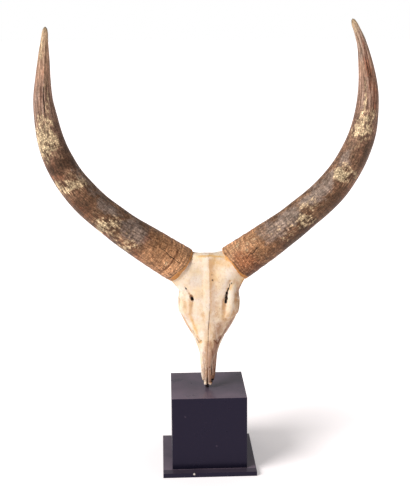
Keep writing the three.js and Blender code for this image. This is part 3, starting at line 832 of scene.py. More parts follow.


# Dry weathered bone, cleaned and aged in the air: chalky and matt, cream where it is rubbed, yellow
# where fat has dried in it, mottled all over, tan in its hollows and brown in its seams. Near-black
# painted shade fills its holes, and its tan and rosy stains are partly painted shade on the +x side,
# away from the light.
def boneMaterial():
    material, tree = newMaterial("dry_weathered_bone")
    colours = bone["colours"]
    place = node(tree, "Attribute", {"attribute_name": "place"}).outputs["Vector"]
    stainAndShade = {
        name: node(tree, "Attribute", {"attribute_name": name}).outputs["Fac"]
        for name in ("hollow", "worn", *boneStrokes)
    }
    # Noises by the size of their patches in mm, across, deep and up.
    sizes = {
        "broad": (45, 45, 45), "patchy": (14, 14, 18), "mottle": (8, 8, 12),
        "speck": (3.6, 3.6, 4.5), "grain": (2.2, 2.2, 2.2), "streak": (3.2, 3.2, 26),
    }
    noise = {}
    for name, size in sizes.items():
        spread = node(tree, "Mapping", {"Scale": [1 / (v * mm) for v in size]}, {"Vector": place})
        noise[name] = node(tree, "TexNoise", {"Scale": 1.0, "Detail": 5, "Roughness": 0.62},
                           {"Vector": spread})

    # Each cover (the stains, which are partly painted shade, and the tan of the hollows) is broken up by
    # the patchy noise before it tints the bone.
    tints = []
    for name, tint, most in (("tan", "tan", 0.8), ("yellow", "yellow", 0.85), ("rosy", "rosy", 0.85),
                             ("hollow", "tan", 0.7)):
        broken = node(tree, "Math", {"operation": "MULTIPLY_ADD", 1: 1.1, 2: -0.55},
                      {0: noise["patchy"]})
        summed = node(tree, "Math", {"operation": "ADD"}, {0: stainAndShade[name], 1: broken})
        cover = node(tree, "MapRange",
                     {"interpolation_type": "SMOOTHSTEP", "From Max": 0.95, "To Max": most},
                     {"Value": summed})
        gate = node(tree, "MapRange", {"From Max": 0.3}, {"Value": stainAndShade[name]})
        tints.append((tint, node(tree, "Math", {"operation": "MULTIPLY"}, {0: cover, 1: gate})))
    # Mottling of 5 to 10 mm, specks of 3 to 4 mm in patches, and streaks along the snout.
    mottled = node(tree, "MapRange", {"From Min": 0.44, "From Max": 0.68, "To Max": 0.29},
                   {"Value": noise["mottle"]})
    tints.append(("mottle", mottled))
    for name, low, high, mask, start, stop, most in (
            ("speck", 0.58, 0.72, noise["patchy"], 0.40, 0.62, 0.5),
            ("streak", 0.47, 0.62, stainAndShade["rosy"], 0.10, 0.80, 0.75)):
        dark = node(tree, "MapRange", {"From Min": low, "From Max": high}, {"Value": noise[name]})
        where = node(tree, "MapRange", {"From Min": start, "From Max": stop, "To Max": most},
                     {"Value": mask})
        tints.append(("earth", node(tree, "Math", {"operation": "MULTIPLY"}, {0: dark, 1: where})))
    specks = tints[-2][1]
    rubbed = node(tree, "Math", {"operation": "MULTIPLY", 1: 0.4}, {0: stainAndShade["worn"]})
    wander = node(tree, "Math", {"operation": "MULTIPLY_ADD", 1: 0.8, 2: -0.4}, {0: noise["speck"]})
    dirt = node(tree, "Math", {"operation": "ADD"}, {0: stainAndShade["soil"], 1: wander})
    thick = node(tree, "MapRange", {"From Min": 0.16, "From Max": 0.95, "To Max": 0.9},
                 {"Value": dirt})
    near = node(tree, "MapRange", {"From Min": 0.05, "From Max": 0.3}, {"Value": stainAndShade["soil"]})
    seams = node(tree, "Math", {"operation": "MULTIPLY"}, {0: thick, 1: near})
    # Painted shade: the holes are painted near black inside.
    shadeInHoles = node(tree, "MapRange",
                 {"interpolation_type": "SMOOTHSTEP", "From Min": 0.2, "From Max": 0.75},
                 {"Value": stainAndShade["holeShade"]})
    tints += [("fresh", rubbed), ("earth", seams), ("dark", shadeInHoles)]

    creamy = node(tree, "MapRange", {"From Min": 0.40, "From Max": 0.66}, {"Value": noise["broad"]})
    colour = node(tree, "Mix",
                  {"data_type": "RGBA", 6: linear(colours["fresh"]), 7: linear(colours["creamy"])},
                  {0: creamy})
    for tint, share in tints:
        colour = node(tree, "Mix", {"data_type": "RGBA", 7: linear(colours[tint])},
                      {0: share, 6: colour})

    # Specks and seams lie low, and the bone swells a little from patch to patch.
    relief = noise["grain"]
    for part, height in ((specks, -1.5), (noise["patchy"], 1.6), (seams, -1.0)):
        relief = node(tree, "Math", {"operation": "MULTIPLY_ADD", 1: height}, {0: part, 2: relief})
    bump = node(tree, "Bump", {"Strength": 0.6, "Distance": 0.0007}, {"Height": relief})
    skin = node(tree, "BsdfPrincipled",
                {"Roughness": 0.68, "IOR": 1.5, "Specular IOR Level": 0.35,
                 "Subsurface Weight": 0.06, "Subsurface Radius": (0.006, 0.004, 0.002),
                 "Subsurface Scale": 1.0},
                {"Base Color": colour, "Normal": bump})
    node(tree, "OutputMaterial", {}, {"Surface": skin})
    return material


dryBone = boneMaterial()


def finishBone(name, room, *nodes):
    piece, points = meshFrom(room, name)
    paintBone(piece, points, room)
    storeOn(piece.data, "place", points * mm)
    piece.data.materials.append(dryBone)
    piece.data.transform(skullMatrix)
    if nodes:
        placePiece(piece, "bone", *nodes)
    print("  " + name, len(piece.data.polygons), "quads")
    return piece


craniumRoom, outerSkin = sculptCranium()
finishBone("cranium_bone", craniumRoom, "cranium")
print("cranium built")

snout = {
    "cell": 1.2,
    "overlap": 1.0,            # mm that the nasal bones lap over their neighbours
    "feather": [(1, 0.2), (5, -0.5)],   # how proud they stand by the distance past their edge
    "slit": {-1: (11.6, 12.2), 1: (11, 12.8)},   # by side, how far it runs from the middle
}


def sculptNasal(side):
    cell = snout["cell"]
    low = (min(side * 31, 0) - 3, -6, 54)
    room = openRoom(low, (low[0] + 40, 36, 270), cell)
    points = np.stack(np.meshgrid(*room["axes"], indexing="ij"), axis=-1)
    skin = sample(outerSkin, outerSkin["field"], points.reshape(-1, 3)).reshape(room["field"].shape)
    # The edge runs out thin over the bone beside it.
    edge = nasalPlan(side, 0, 0.3)[2](*cellsIn(room, room["low"], room["low"] + 1e4)[1])
    room["field"] = (skin - np.interp(edge, *zip(*snout["feather"]))).astype(np.float32)
    cutShape(room, loft(nasalRows, cell, bone["wall"], 1), 1)
    keepShape(room, nasalPlan(side, snout["overlap"], 0.3, cover=4.5), 0.4)
    # A low dome along each bone, so that the pair has a shallow valley in its middle.
    cutShape(room, bar([(0, -5.4, 262), (0, -4.9, 190), (0, -3.9, 110), (0, 0.6, 74)],
                       [(6, 8), (7, 9), (8, 9), (8, 9)]), 3)
    return room


def sculptPremaxilla(side):
    low = (min(side * 50, 0) - 3, -6, -4)
    cell = snout["cell"]
    room = openRoom(low, (low[0] + 56, 88, 180), cell)
    addShape(room, loft(faceStations, cell), 1)
    addSwells(room, bone["unevenness"], bone["seed"])
    cutShape(room, loft(noseRows, cell, bone["wall"], 3), 2)
    low, high, plan = nasalPlan(side, gap, 1.2)
    cells, places = cellsIn(room, low, high)
    nasalRoom = -softMin(-plan(*places), underNasals(room)[cells], 1)
    room["field"][cells] = -softMin(-room["field"][cells], nasalRoom, 1)
    keepShape(room, snoutEnd(-gap), 1.5)
    # The slit beside the nasal bone's free end has nearly grown shut on the right side.
    near, far = snout["slit"][side]
    cutShape(room, roundedBox((min(side * near, side * far), -10, 38),
                              (max(side * near, side * far), 36, 98), (far - near) / 2 - 0.1), 1.2)
    # Holes near the tip, and the notch where the two bones part.
    cutShape(room, bar([(side * 15.4, 12, 23), (side * 15, 30, 13)], [(6, 6), (6, 6)], steps=2), 1.5)
    cutShape(room, bar([(-2.4, 12, 40), (-2.3, 20, 12), (-2.2, 26, -3)],
                       [(2.4, 5), (3.4, 7), (6, 12)]), 1.5)
    addShape(room, ellipsoid((side * 9, 24, 4), (5, 6, 4)), 4)
    middle = roundedBox((-60, -60, -60), (0, 200, 300), 0.1)
    if side < 0:
        middle = roundedBox((0, -60, -60), (60, 200, 300), 0.1)
    cutShape(room, middle, 1.6)
    cutShape(room, rodBore(), 1)
    return room


for name, side in sides.items():
    finishBone("nasal_bone_" + name, sculptNasal(side), "nasal_" + name)
    finishBone("premaxilla_bone_" + name, sculptPremaxilla(side), "premaxilla_" + name)
print("snout built")

teeth = {
    "cell": 1.1, "from": 146, "to": 274, "gumY": 92, "crown": 46, "nearX": 34, "farX": 54,
    "premolars": 3, "molars": 3, "premolarShare": 0.86, "molarShare": 1.3, "widths": (14, 22),
    "colours": {"enamel": "#e8d8ba", "neck": "#a27a50", "tartar": "#553c26"},
}


def sculptTeeth(side):
    low = (min(side * 18, side * 74), 84, 138)
    room = openRoom(low, (low[0] + 56, 144, 300), teeth["cell"])
    count = teeth["premolars"] + teeth["molars"]
    shares = teeth["premolars"] * teeth["premolarShare"] + teeth["molars"] * teeth["molarShare"]
    z = teeth["from"]
    for tooth in range(count):
        molar = tooth >= teeth["premolars"]
        share = teeth["molarShare" if molar else "premolarShare"]
        length = (teeth["to"] - teeth["from"]) / shares * share
        x = side * np.interp(z, (teeth["from"], teeth["to"]), (teeth["nearX"], teeth["farX"]))
        width = np.interp(tooth, (0, count - 1), teeth["widths"])
        biting = teeth["gumY"] + teeth["crown"]
        body = roundedBox((x - width / 2, teeth["gumY"], z + 0.7),
                          (x + width / 2, biting, z + length - 0.7), 3.2)
        addShape(room, body, 0.6)
        lobes = 2 if molar else 1
        for lobe in range(lobes):
            middle = z + length * (lobe + 0.5) / lobes
            for face, thick in ((side, 3.4), (-side, 4.2)):
                addShape(room, bar([(x + face * (width / 2 - 1.6), teeth["gumY"], middle),
                                    (x + face * (width / 2 - 2.4), biting - 1.5, middle)],
                                   [(thick, thick * 1.4)] * 2, steps=2), 1.6)
            # the dark cups worn in the biting face
            cutShape(room, ellipsoid((x, biting + 0.5, middle),
                                     (width * 0.26, 3.4, length / lobes * 0.2)), 1)
            cutShape(room, ellipsoid((x + side * width * 0.3, biting + 1, middle + length / lobes * 0.3),
                                     (width * 0.1, 2.2, 2)), 1)
        z += length
    room["field"] += 0.2 * swells(room, 5, 41 + side)
    return room


# Cattle's cheek teeth: hard glossy enamel, cream on its ridges and brown with tartar between.
def toothMaterial():
    material, tree = newMaterial("old_tooth_enamel")
    colours = teeth["colours"]
    place = node(tree, "Attribute", {"attribute_name": "place"}).outputs["Vector"]
    hollow = node(tree, "Attribute", {"attribute_name": "hollow"}).outputs["Fac"]
    # Streaks 2.5 mm wide and 17 mm long, down each tooth.
    streak = node(tree, "Mapping", {"Scale": (400, 60, 400)}, {"Vector": place})
    noise = node(tree, "TexNoise", {"Scale": 1.0, "Detail": 5}, {"Vector": streak})
    stained = node(tree, "MapRange", {"From Min": 0.42, "From Max": 0.66}, {"Value": noise})
    colour = node(tree, "Mix",
                  {"data_type": "RGBA", 6: linear(colours["enamel"]), 7: linear(colours["neck"])},
                  {0: stained})
    dirty = node(tree, "MapRange", {"From Min": 0.15, "From Max": 0.6, "To Max": 0.9},
                 {"Value": hollow})
    colour = node(tree, "Mix", {"data_type": "RGBA", 7: linear(colours["tartar"])},
                  {0: dirty, 6: colour})
    bump = node(tree, "Bump", {"Strength": 0.3, "Distance": 0.0004}, {"Height": noise})
    shine = node(tree, "BsdfPrincipled", {"Roughness": 0.35, "IOR": 1.6},
                 {"Base Color": colour, "Normal": bump})
    node(tree, "OutputMaterial", {}, {"Surface": shine})
    return material


enamel = toothMaterial()
for name, side in sides.items():
    row = finishBone("cheek_teeth_" + name, sculptTeeth(side))
    row.data.materials.clear()
    row.data.materials.append(enamel)
    placePiece(row, "bone", "cranium")
print("teeth built")

horn = {
    "rings": 460,
    "around": 170,
    "radius": 52,     # mean radius in mm, which turns distances round the horn into degrees
    "seeds": {"right": 50, "left": 80},
    "sizes": [
        (0, 68.2), (4, 68.8), (14, 68.8), (60, 66.6), (130, 63.4), (268, 56), (430, 53),
        (590, 46.2), (750, 34.8), (830, 26.6), (908, 18.6), (970, 11.8), (996, 9), (1004, 6.4),
        (1008, 3.4), (1009, 1),
    ],
    "lip": [(9, 55), (0.6, 59.5), (-0.5, 66.8)],   # distance and radius where it turns in
    "rimLift": 8,     # mm that the upper side of the rim reaches on towards the poll
    "lipWidth": {"right": 14, "left": 9},   # mm, of the bare lip at its middle
    "tuck": {"right": 5, "left": 3},        # mm that the rim's underside lies closer to the core
    "unroll": 0.06,   # radius of the straight cylinder that the horn's pattern is drawn on
    "colours": {
        "base": [(0.0, "#e8b183"), (0.06, "#d99f72"), (0.12, "#bf8c63"), (0.155, "#a87a58"),
                 (0.175, "#835d44"), (0.26, "#7c5a42"), (0.40, "#785640"), (0.55, "#805e4a"),
                 (0.66, "#8f6d5c"), (0.80, "#ab8672"), (0.91, "#d3a788"), (0.97, "#dfb48c"),
                 (1.0, "#85704f")],
        "pale": "#ecd2a8", "halo": "#bf9f7c", "dark": "#331e14", "red": "#8a4627",
        "grey": "#857870", "crack": "#1b0f0a", "lip": "#cf8c48", "fleck": "#e9bf9b",
        "line": "#57290f", "deep": "#38231a", "gloss": "#ffe4c8", "vein": "#562a20", "silk": "#dcc6b6",
    },
}

# Markings of each horn as (mm from the rim, degrees round from its upper side, half length
# along, half width round in degrees, strength). 90 degrees faces the front.
hornMarks = {
    "right": {
        "pale": [
            (632, 118, 38, 52, 0.85), (655, 150, 30, 26, 0.75), (590, 136, 16, 34, 0.55),
            (470, 92, 18, 44, 0.75), (450, 62, 14, 18, 0.6), (480, 150, 14, 24, 0.6),
            (300, 132, 16, 24, 1.0), (325, 112, 14, 18, 0.5), (262, 116, 9, 26, 0.4),
            (215, 120, 22, 34, 0.42), (232, 150, 12, 18, 0.45), (190, 105, 8, 12, 0.6),
            (620, 250, 50, 60, 0.9), (450, 260, 36, 50, 0.7), (270, 280, 36, 44, 0.7),
            (990, 90, 14, 180, 0.5), (60, 95, 12, 16, 0.35), (948, 130, 55, 52, 0.7),
            (694, 92, 26, 44, 0.62), (286, 98, 20, 30, 0.62),
            (790, 60, 60, 12, 0.45),
        ],
        "dark": [
            (535, 100, 22, 90, 0.95), (395, 110, 30, 70, 0.7), (350, 60, 30, 30, 0.5),
            (760, 45, 60, 22, 0.5), (740, 168, 120, 14, 0.8), (520, 250, 30, 80, 0.7),
            (1004, 60, 4, 60, 0.9), (230, 168, 50, 16, 0.6), (450, 168, 90, 14, 0.8),
            (120, 172, 70, 12, 0.7), (600, 20, 70, 22, 0.7), (240, 88, 26, 18, 0.6),
            (340, 30, 60, 16, 0.6),
        ],
        "red": [
            (110, 130, 50, 40, 0.25), (300, 160, 70, 22, 0.6), (380, 125, 40, 30, 0.5),
            (90, 270, 80, 90, 0.75), (150, 60, 26, 26, 0.5), (140, 150, 40, 30, 0.6),
            (520, 130, 40, 30, 0.5), (850, 60, 60, 30, 0.4),
        ],
        "grey": [
            (225, 62, 46, 34, 1.0), (330, 46, 44, 26, 0.85), (430, 34, 100, 18, 0.8),
            (760, 125, 50, 20, 0.5), (240, 290, 50, 60, 0.8), (255, 140, 20, 16, 0.5),
        ],
    },
    "left": {
        "pale": [
            (650, 74, 44, 30, 0.72), (684, 104, 20, 26, 0.5), (612, 62, 16, 24, 0.6),
            (472, 74, 15, 25, 1.1), (502, 68, 7, 24, 0.4), (498, 106, 9, 22, 0.62),
            (284, 96, 13, 26, 0.74), (300, 124, 9, 16, 0.5), (330, 70, 24, 18, 0.36),
            (250, 92, 12, 30, 0.36),
            (200, 84, 24, 30, 0.3), (778, 62, 30, 7, 0.7), (720, 58, 26, 8, 0.7),
            (640, 280, 46, 60, 0.7), (470, 270, 30, 40, 0.6), (985, 70, 22, 180, 0.45),
            (70, 40, 40, 30, 0.3),
        ],
        "dark": [
            (560, 128, 44, 34, 0.7), (400, 128, 60, 30, 0.75), (250, 134, 60, 30, 1.1),
            (185, 142, 40, 26, 1.1), (846, 92, 56, 14, 0.7), (770, 145, 60, 10, 0.6),
            (56, 146, 44, 30, 1.0), (128, 134, 40, 38, 0.85), (100, 90, 46, 34, 0.62),
            (500, 250, 40, 60, 0.6), (380, 300, 50, 50, 0.5),
            (640, 150, 60, 16, 0.7), (330, 90, 26, 20, 0.5), (450, 96, 16, 24, 0.6),
            (540, 80, 14, 20, 0.4),
        ],
        "red": [
            (44, 116, 44, 52, 1.0), (855, 94, 80, 22, 0.9), (420, 150, 90, 24, 0.5),
            (270, 130, 34, 20, 0.5), (80, 270, 70, 90, 0.75), (740, 130, 80, 18, 0.6),
            (590, 110, 40, 24, 0.4),
        ],
        "grey": [
            (390, 48, 80, 30, 0.95), (520, 52, 40, 26, 0.75), (250, 55, 50, 30, 1.0),
            (172, 56, 46, 40, 0.95),
            (600, 165, 140, 16, 0.5), (330, 290, 90, 60, 0.7), (720, 40, 60, 20, 0.5),
            (930, 80, 60, 70, 0.95),
        ],
    },
}
# Cracks as (from mm, degrees, to mm, degrees, half width in mm, depth in mm).
hornCracks = {
    "right": [(806, 76, 724, 81, 3.4, 2.6), (116, 65, 26, 77, 1.3, 2.2), (118, 128, 40, 132, 1.0, 1.4),
              (70, 96, 52, 150, 1.3, 1.5), (640, 95, 600, 92, 1.0, 1.0), (90, 230, 10, 236, 1.4, 2.2)],
    "left": [(120, 79, 54, 87, 1.4, 2.4), (885, 86, 812, 95, 2.4, 2.0), (850, 100, 792, 108, 1.9, 1.6),
             (44, 84, 40, 118, 1.4, 1.6), (100, 300, 8, 305, 1.5, 2.4)],
}


# Smooth random values from -1 to 1 over a horn, with bumps of the given sizes in mm. The
# pattern meets itself round the horn.
def hornNoise(distances, angles, along, around, seed):
    random = np.random.default_rng(seed)
    columns = max(3, round(360 / math.degrees(around / horn["radius"])))
    rows = int(hornLength / along) + 4
    values = random.uniform(-1, 1, (rows, columns))
    u = np.clip((distances + along) / along, 0, rows - 2.001)
    v = angles / 360 * columns
    row, column = u.astype(int), v.astype(int)
    s, t = u - row, v - column
    s, t = s * s * (3 - 2 * s), t * t * (3 - 2 * t)
    near, far = column % columns, (column + 1) % columns
    return (
        (values[row, near] * (1 - t) + values[row, far] * t) * (1 - s)
        + (values[row + 1, near] * (1 - t) + values[row + 1, far] * t) * s
    )


def buildHorn(side):
    around, seed = horn["around"], horn["seeds"][side]
    # Rings are close near the rim and the tip, and turn in at the rim round the bone core.
    spread = np.linspace(0, 1, horn["rings"])
    evened = hornLength * (spread - 0.06 * np.sin(2 * np.pi * spread) / np.pi)
    inward, lip = zip(*horn["lip"])
    distances = np.concatenate([inward, evened])
    radii = np.concatenate([lip, smoothTable(horn["sizes"], evened)[0]])
    s = np.repeat(distances[:, None], around, axis=1)
    a = np.repeat(np.arange(around)[None, :] * 360 / around, len(distances), axis=0)
    turn = np.radians(a)
    row = np.arange(len(distances))[:, None]
    outer = row > 1
    shell = (row > 3) * np.clip((hornLength - s) / 60, 0, 1)

    # Ragged rim, growth rings that fade along the horn, flakes, lengthwise ribs and slow swells.
    ragged = 2.2 * hornNoise(s * 0, a, 1000, 22, seed) + 1.2 * hornNoise(s * 0, a, 1000, 7, seed + 1)
    ragged = ragged - horn["rimLift"] * np.clip(np.cos(turn), 0, 1) ** 2
    shift = np.clip(1 - s / 60, 0, 1) * ragged
    rough = np.clip(1 - s / 260, 0.12, 1)
    warp = 5 * hornNoise(s, a, 60, 60, seed + 2)
    growth = (0.6 * hornNoise(s + warp, a, 9, 130, seed + 3)
              + 0.7 * hornNoise(s + warp, a, 4.6, 60, seed + 4))
    flakes = np.clip(hornNoise(s, a, 16, 11, seed + 5) * 2 - 0.7, 0, 1)
    ribs = hornNoise(s, a, 170, 9, seed + 6) + 0.6 * hornNoise(s, a, 110, 4.5, seed + 7)
    swell = 1.3 * hornNoise(s, a, 70, 60, seed + 8)
    relief = 1.0 * rough * growth + 0.9 * rough * flakes + 0.35 * ribs
    relief = relief + swell * np.clip(s / 60, 0.3, 1)
    crack = np.zeros_like(s)
    for start, startTurn, end, endTurn, wide, deep in hornCracks[side]:
        t = np.clip((s - start) / (end - start), 0, 1)
        middle = np.radians(startTurn + (endTurn - startTurn) * t) * horn["radius"]
        middle = middle + 2.0 * hornNoise(s, s * 0, 14, 60, seed + 9)
        beyond = np.maximum(np.minimum(start, end) - s, s - np.maximum(start, end))
        away = np.hypot(turn * horn["radius"] - middle, np.maximum(beyond, 0))
        narrow = wide * (0.45 + 0.55 * np.sin(np.pi * np.clip(t, 0.08, 0.92)))
        here = np.exp(-(away / narrow) ** 2)
        relief = relief - deep * here
        crack = np.maximum(crack, here)
    under = np.clip(-np.cos(turn), 0, 1) ** 1.5 * np.interp(s, (0, 60, 250), (1, 0.75, 0))
    relief = shell * relief - horn["tuck"][side] * under * outer
    radius = radii[:, None] + relief
    placed = s + shift * outer
    centres, up, front = (v.reshape(s.shape + (3,)) for v in hornFrames(side, placed.ravel()))
    cosine, sine = np.cos(turn)[..., None], np.sin(turn)[..., None]
    points = (centres + radius[..., None] * (up * cosine + front * sine)).reshape(-1, 3)
    points = np.vstack([points, points[-around:].mean(0)])
    index = np.arange(len(points) - 1).reshape(-1, around)
    nextOne = np.roll(index, -1, axis=1)
    quads = np.stack([nextOne[:-1], index[:-1], index[1:], nextOne[1:]], axis=-1).reshape(-1, 4)
    caps = np.stack([np.full(around, len(points) - 1), nextOne[-1], index[-1]], axis=-1)
    mesh = bpy.data.meshes.new("horn_sheath_" + side)
    mesh.from_pydata((points * mm).tolist(), [], quads.tolist() + caps.tolist())
    mesh.polygons.foreach_set("use_smooth", [True] * len(mesh.polygons))

    def store(name, values):
        storeOn(mesh, name, np.append(values.ravel(), values[-1].mean()))

    store("crack", crack)
    store("raised", np.clip(0.5 + 0.4 * rough * growth, 0, 1))
    # Markings have wandering outlines.
    strayS = s + 16 * hornNoise(s, a, 30, 30, seed + 20) + 7 * hornNoise(s, a, 12, 14, seed + 21)
    strayA = a + 13 * hornNoise(s, a, 34, 30, seed + 22) + 6 * hornNoise(s, a, 13, 12, seed + 23)
    store("along", np.clip((0.6 * s + 0.4 * strayS) / hornLength, 0, 1))
    for name, marks in hornMarks[side].items():
        cover = np.zeros_like(s)
        for place, angle, long, wide, strength in marks:
            off = (strayA - angle + 180) % 360 - 180
            away = np.hypot((strayS - place) / long, off / wide)
            cover = np.maximum(cover, strength * np.clip(1.35 - 0.6 * away ** 1.5, 0, 1))
        store(name, cover)
    # The bare lip is widest at the front and below, with two dark lines beside it.
    rim = horn["lipWidth"][side] * (0.5 + 0.9 * np.clip((a - 50) / 90, 0, 1) * (a < 230))
    rim = rim + 3 * hornNoise(s * 0, a, 1000, 26, seed + 24)
    store("lip", np.clip((rim - s) / 2.5, 0, 1))
    second = rim + 9 + 2.5 * hornNoise(s * 0, a, 1000, 18, seed + 25)
    store("rimLine", np.exp(-((s - rim - 1.5) / 1.8) ** 2) + 0.7 * np.exp(-((s - second) / 1.5) ** 2))
    straight = np.stack([np.cos(turn) * horn["unroll"], np.sin(turn) * horn["unroll"], s * mm], axis=-1)
    straight = straight.reshape(-1, 3)
    storeOn(mesh, "straight", np.vstack([straight, straight[-around:].mean(0)]))
    mesh.transform(skullMatrix)
    return addObject("horn_sheath_" + side, mesh)


# Weathered cattle horn, grown in layers: dull satin brown, with lengthwise fibres, rough rings
# at its root, pale bands where the outer layers have flaked and crazed, and dark cracks.
def hornMaterial():
    material, tree = newMaterial("weathered_horn")
    colours = horn["colours"]
    read = {
        name: node(tree, "Attribute", {"attribute_name": name}).outputs["Fac"]
        for name in ("along", "crack", "raised", "pale", "dark", "red", "grey", "lip", "rimLine")
    }
    straight = node(tree, "Attribute", {"attribute_name": "straight"}).outputs["Vector"]
    # Noises by their repeats in a metre, across twice and along.
    scales = {
        "fibre": (260, 260, 26),       # streaks about 4 mm wide and 40 mm long
        "flake": (150, 150, 110),      # flakes of 7 to 9 mm
        "scale": (200, 200, 80),       # scales 5 mm wide and 12 mm long, which lift along the horn
        "chip": (70, 70, 60),          # bigger flakes of 14 to 17 mm
        "fine": (230, 230, 230),       # grains of 4 mm
        "cloud": (30, 30, 22),
        "ring": (12, 12, 230),         # rings 3 to 4 mm apart
        "strand": (95, 95, 14),        # streaks 5 mm wide and 70 mm long, near the tip
    }
    noise = {}
    for name, scale in scales.items():
        spread = node(tree, "Mapping", {"Scale": scale}, {"Vector": straight})
        noise[name] = node(tree, "TexNoise", {"Scale": 1.0, "Detail": 4, "Roughness": 0.62},
                           {"Vector": spread})

    # Scales all over: light where a layer has dried and lifted, and deep brown in between.
    tints = []
    patched = node(tree, "Math", {"operation": "MULTIPLY_ADD", 1: 0.5},
                   {0: noise["chip"], 2: noise["scale"]})
    scaly = node(tree, "ValToRGB", {}, {"Fac": read["along"]})
    fillRamp(scaly, [(0.1, 0.3), (0.2, 0.9), (0.6, 0.9), (0.76, 0.25)])
    for tint, low, high, most in (("halo", 0.76, 0.98, 0.65), ("deep", 0.74, 0.54, 0.75)):
        share = node(tree, "MapRange", {"From Min": low, "From Max": high, "To Max": most},
                     {"Value": patched})
        tints.append((tint, node(tree, "Math", {"operation": "MULTIPLY"}, {0: share, 1: scaly})))
    # Each marking is broken up by two of the noises before it covers the horn.
    for tint, mottle, amount, offset, most in (
            ("grey", "cloud", 1.6, 0, 0.72), ("red", "cloud", 1.8, 0, 0.65),
            ("dark", "chip", 2.0, 0, 0.75), ("halo", "chip", 3.0, 0.2, 0.65),
            ("pale", "chip", 2.6, 0, 0.9)):
        mark = read["pale" if tint == "halo" else tint]
        small = node(tree, "Math", {"operation": "MULTIPLY_ADD", 1: 1.5, 2: -0.75},
                     {0: noise["scale"]})
        large = node(tree, "Math", {"operation": "MULTIPLY_ADD", 1: amount, 2: -0.53 * amount},
                     {0: noise[mottle]})
        both = node(tree, "Math", {"operation": "ADD"}, {0: small, 1: large})
        raised = node(tree, "Math", {"operation": "ADD", 1: offset}, {0: both})
        broken = node(tree, "Math", {"operation": "ADD"}, {0: raised, 1: mark})
        cover = node(tree, "MapRange",
                     {"interpolation_type": "SMOOTHSTEP", "From Min": 0.25, "From Max": 1.0,
                      "To Max": most}, {"Value": broken})
        gate = node(tree, "MapRange", {"From Min": 0.02, "From Max": 0.4 - offset}, {"Value": mark})
        tints.append((tint, node(tree, "Math", {"operation": "MULTIPLY"}, {0: cover, 1: gate})))
    # Crazing: plates of 6 mm across and 9 mm round the horn, with open lines between them.
    bent = node(tree, "Mapping", {"Scale": (110, 110, 165)}, {"Vector": straight})
    jitter = node(tree, "TexNoise", {"Scale": 2.2, "Detail": 3}, {"Vector": bent})
    pushed = node(tree, "VectorMath", {"operation": "MULTIPLY_ADD", 1: (0.9, 0.9, 0.9)},
                  {0: jitter.outputs["Color"], 2: bent})
    plates = node(tree, "TexVoronoi", {"feature": "DISTANCE_TO_EDGE", "Scale": 1.0},
                  {"Vector": pushed})
    crazing = node(tree, "MapRange", {"From Min": 0.17, "From Max": 0.04}, {"Value": plates})
    onPale = node(tree, "Math", {"operation": "MULTIPLY_ADD", 1: 0.6, 2: 0.1}, {0: read["pale"]})
    crazed = node(tree, "Math", {"operation": "MULTIPLY", "use_clamp": True},
                  {0: crazing, 1: onPale})
    tints.append(("dark", crazed))

    colour = node(tree, "ValToRGB", {}, {"Fac": read["along"]})
    fillRamp(colour, colours["base"])
    for tint, share in tints:
        colour = node(tree, "Mix", {"data_type": "RGBA", 7: linear(colours[tint])},
                      {0: share, 6: colour})

    # Lighter and darker along the fibres, in clouds, in grains and across in rings. The tip is
    # smoother, with long streaks.
    rugged = node(tree, "MapRange",
                  {"From Min": 0.66, "From Max": 0.78, "To Min": 1, "To Max": 0.5},
                  {"Value": read["along"]})
    smooth = node(tree, "MapRange", {"From Min": 0.62, "From Max": 0.76}, {"Value": read["along"]})
    beyond = node(tree, "MapRange", {"From Min": 0.06, "From Max": 0.18, "To Min": 0.4},
                  {"Value": read["along"]})
    for name, least, most, where in (
            ("fibre", 0.6, 1.45, beyond), ("cloud", 0.72, 1.3, None), ("ring", 0.78, 1.22, rugged),
            ("fine", 0.62, 1.43, rugged), ("flake", 0.66, 1.39, rugged), ("chip", 0.78, 1.25, rugged),
            ("strand", 0.48, 1.56, smooth)):
        shade = node(tree, "MapRange",
                     {"From Min": 0.36, "From Max": 0.66, "To Min": least, "To Max": most},
                     {"Value": noise[name]})
        links = {6: colour, 7: shade, 0: where} if where else {6: colour, 7: shade}
        colour = node(tree, "Mix", {"data_type": "RGBA", "blend_type": "MULTIPLY", 0: 1.0}, links)

    tints = []
    for tint, low, high, most in (("vein", 0.45, 0.35, 0.6), ("silk", 0.57, 0.68, 0.5)):
        share = node(tree, "MapRange", {"From Min": low, "From Max": high, "To Max": most},
                     {"Value": noise["strand"]})
        tints.append((tint, node(tree, "Math", {"operation": "MULTIPLY"}, {0: share, 1: smooth})))
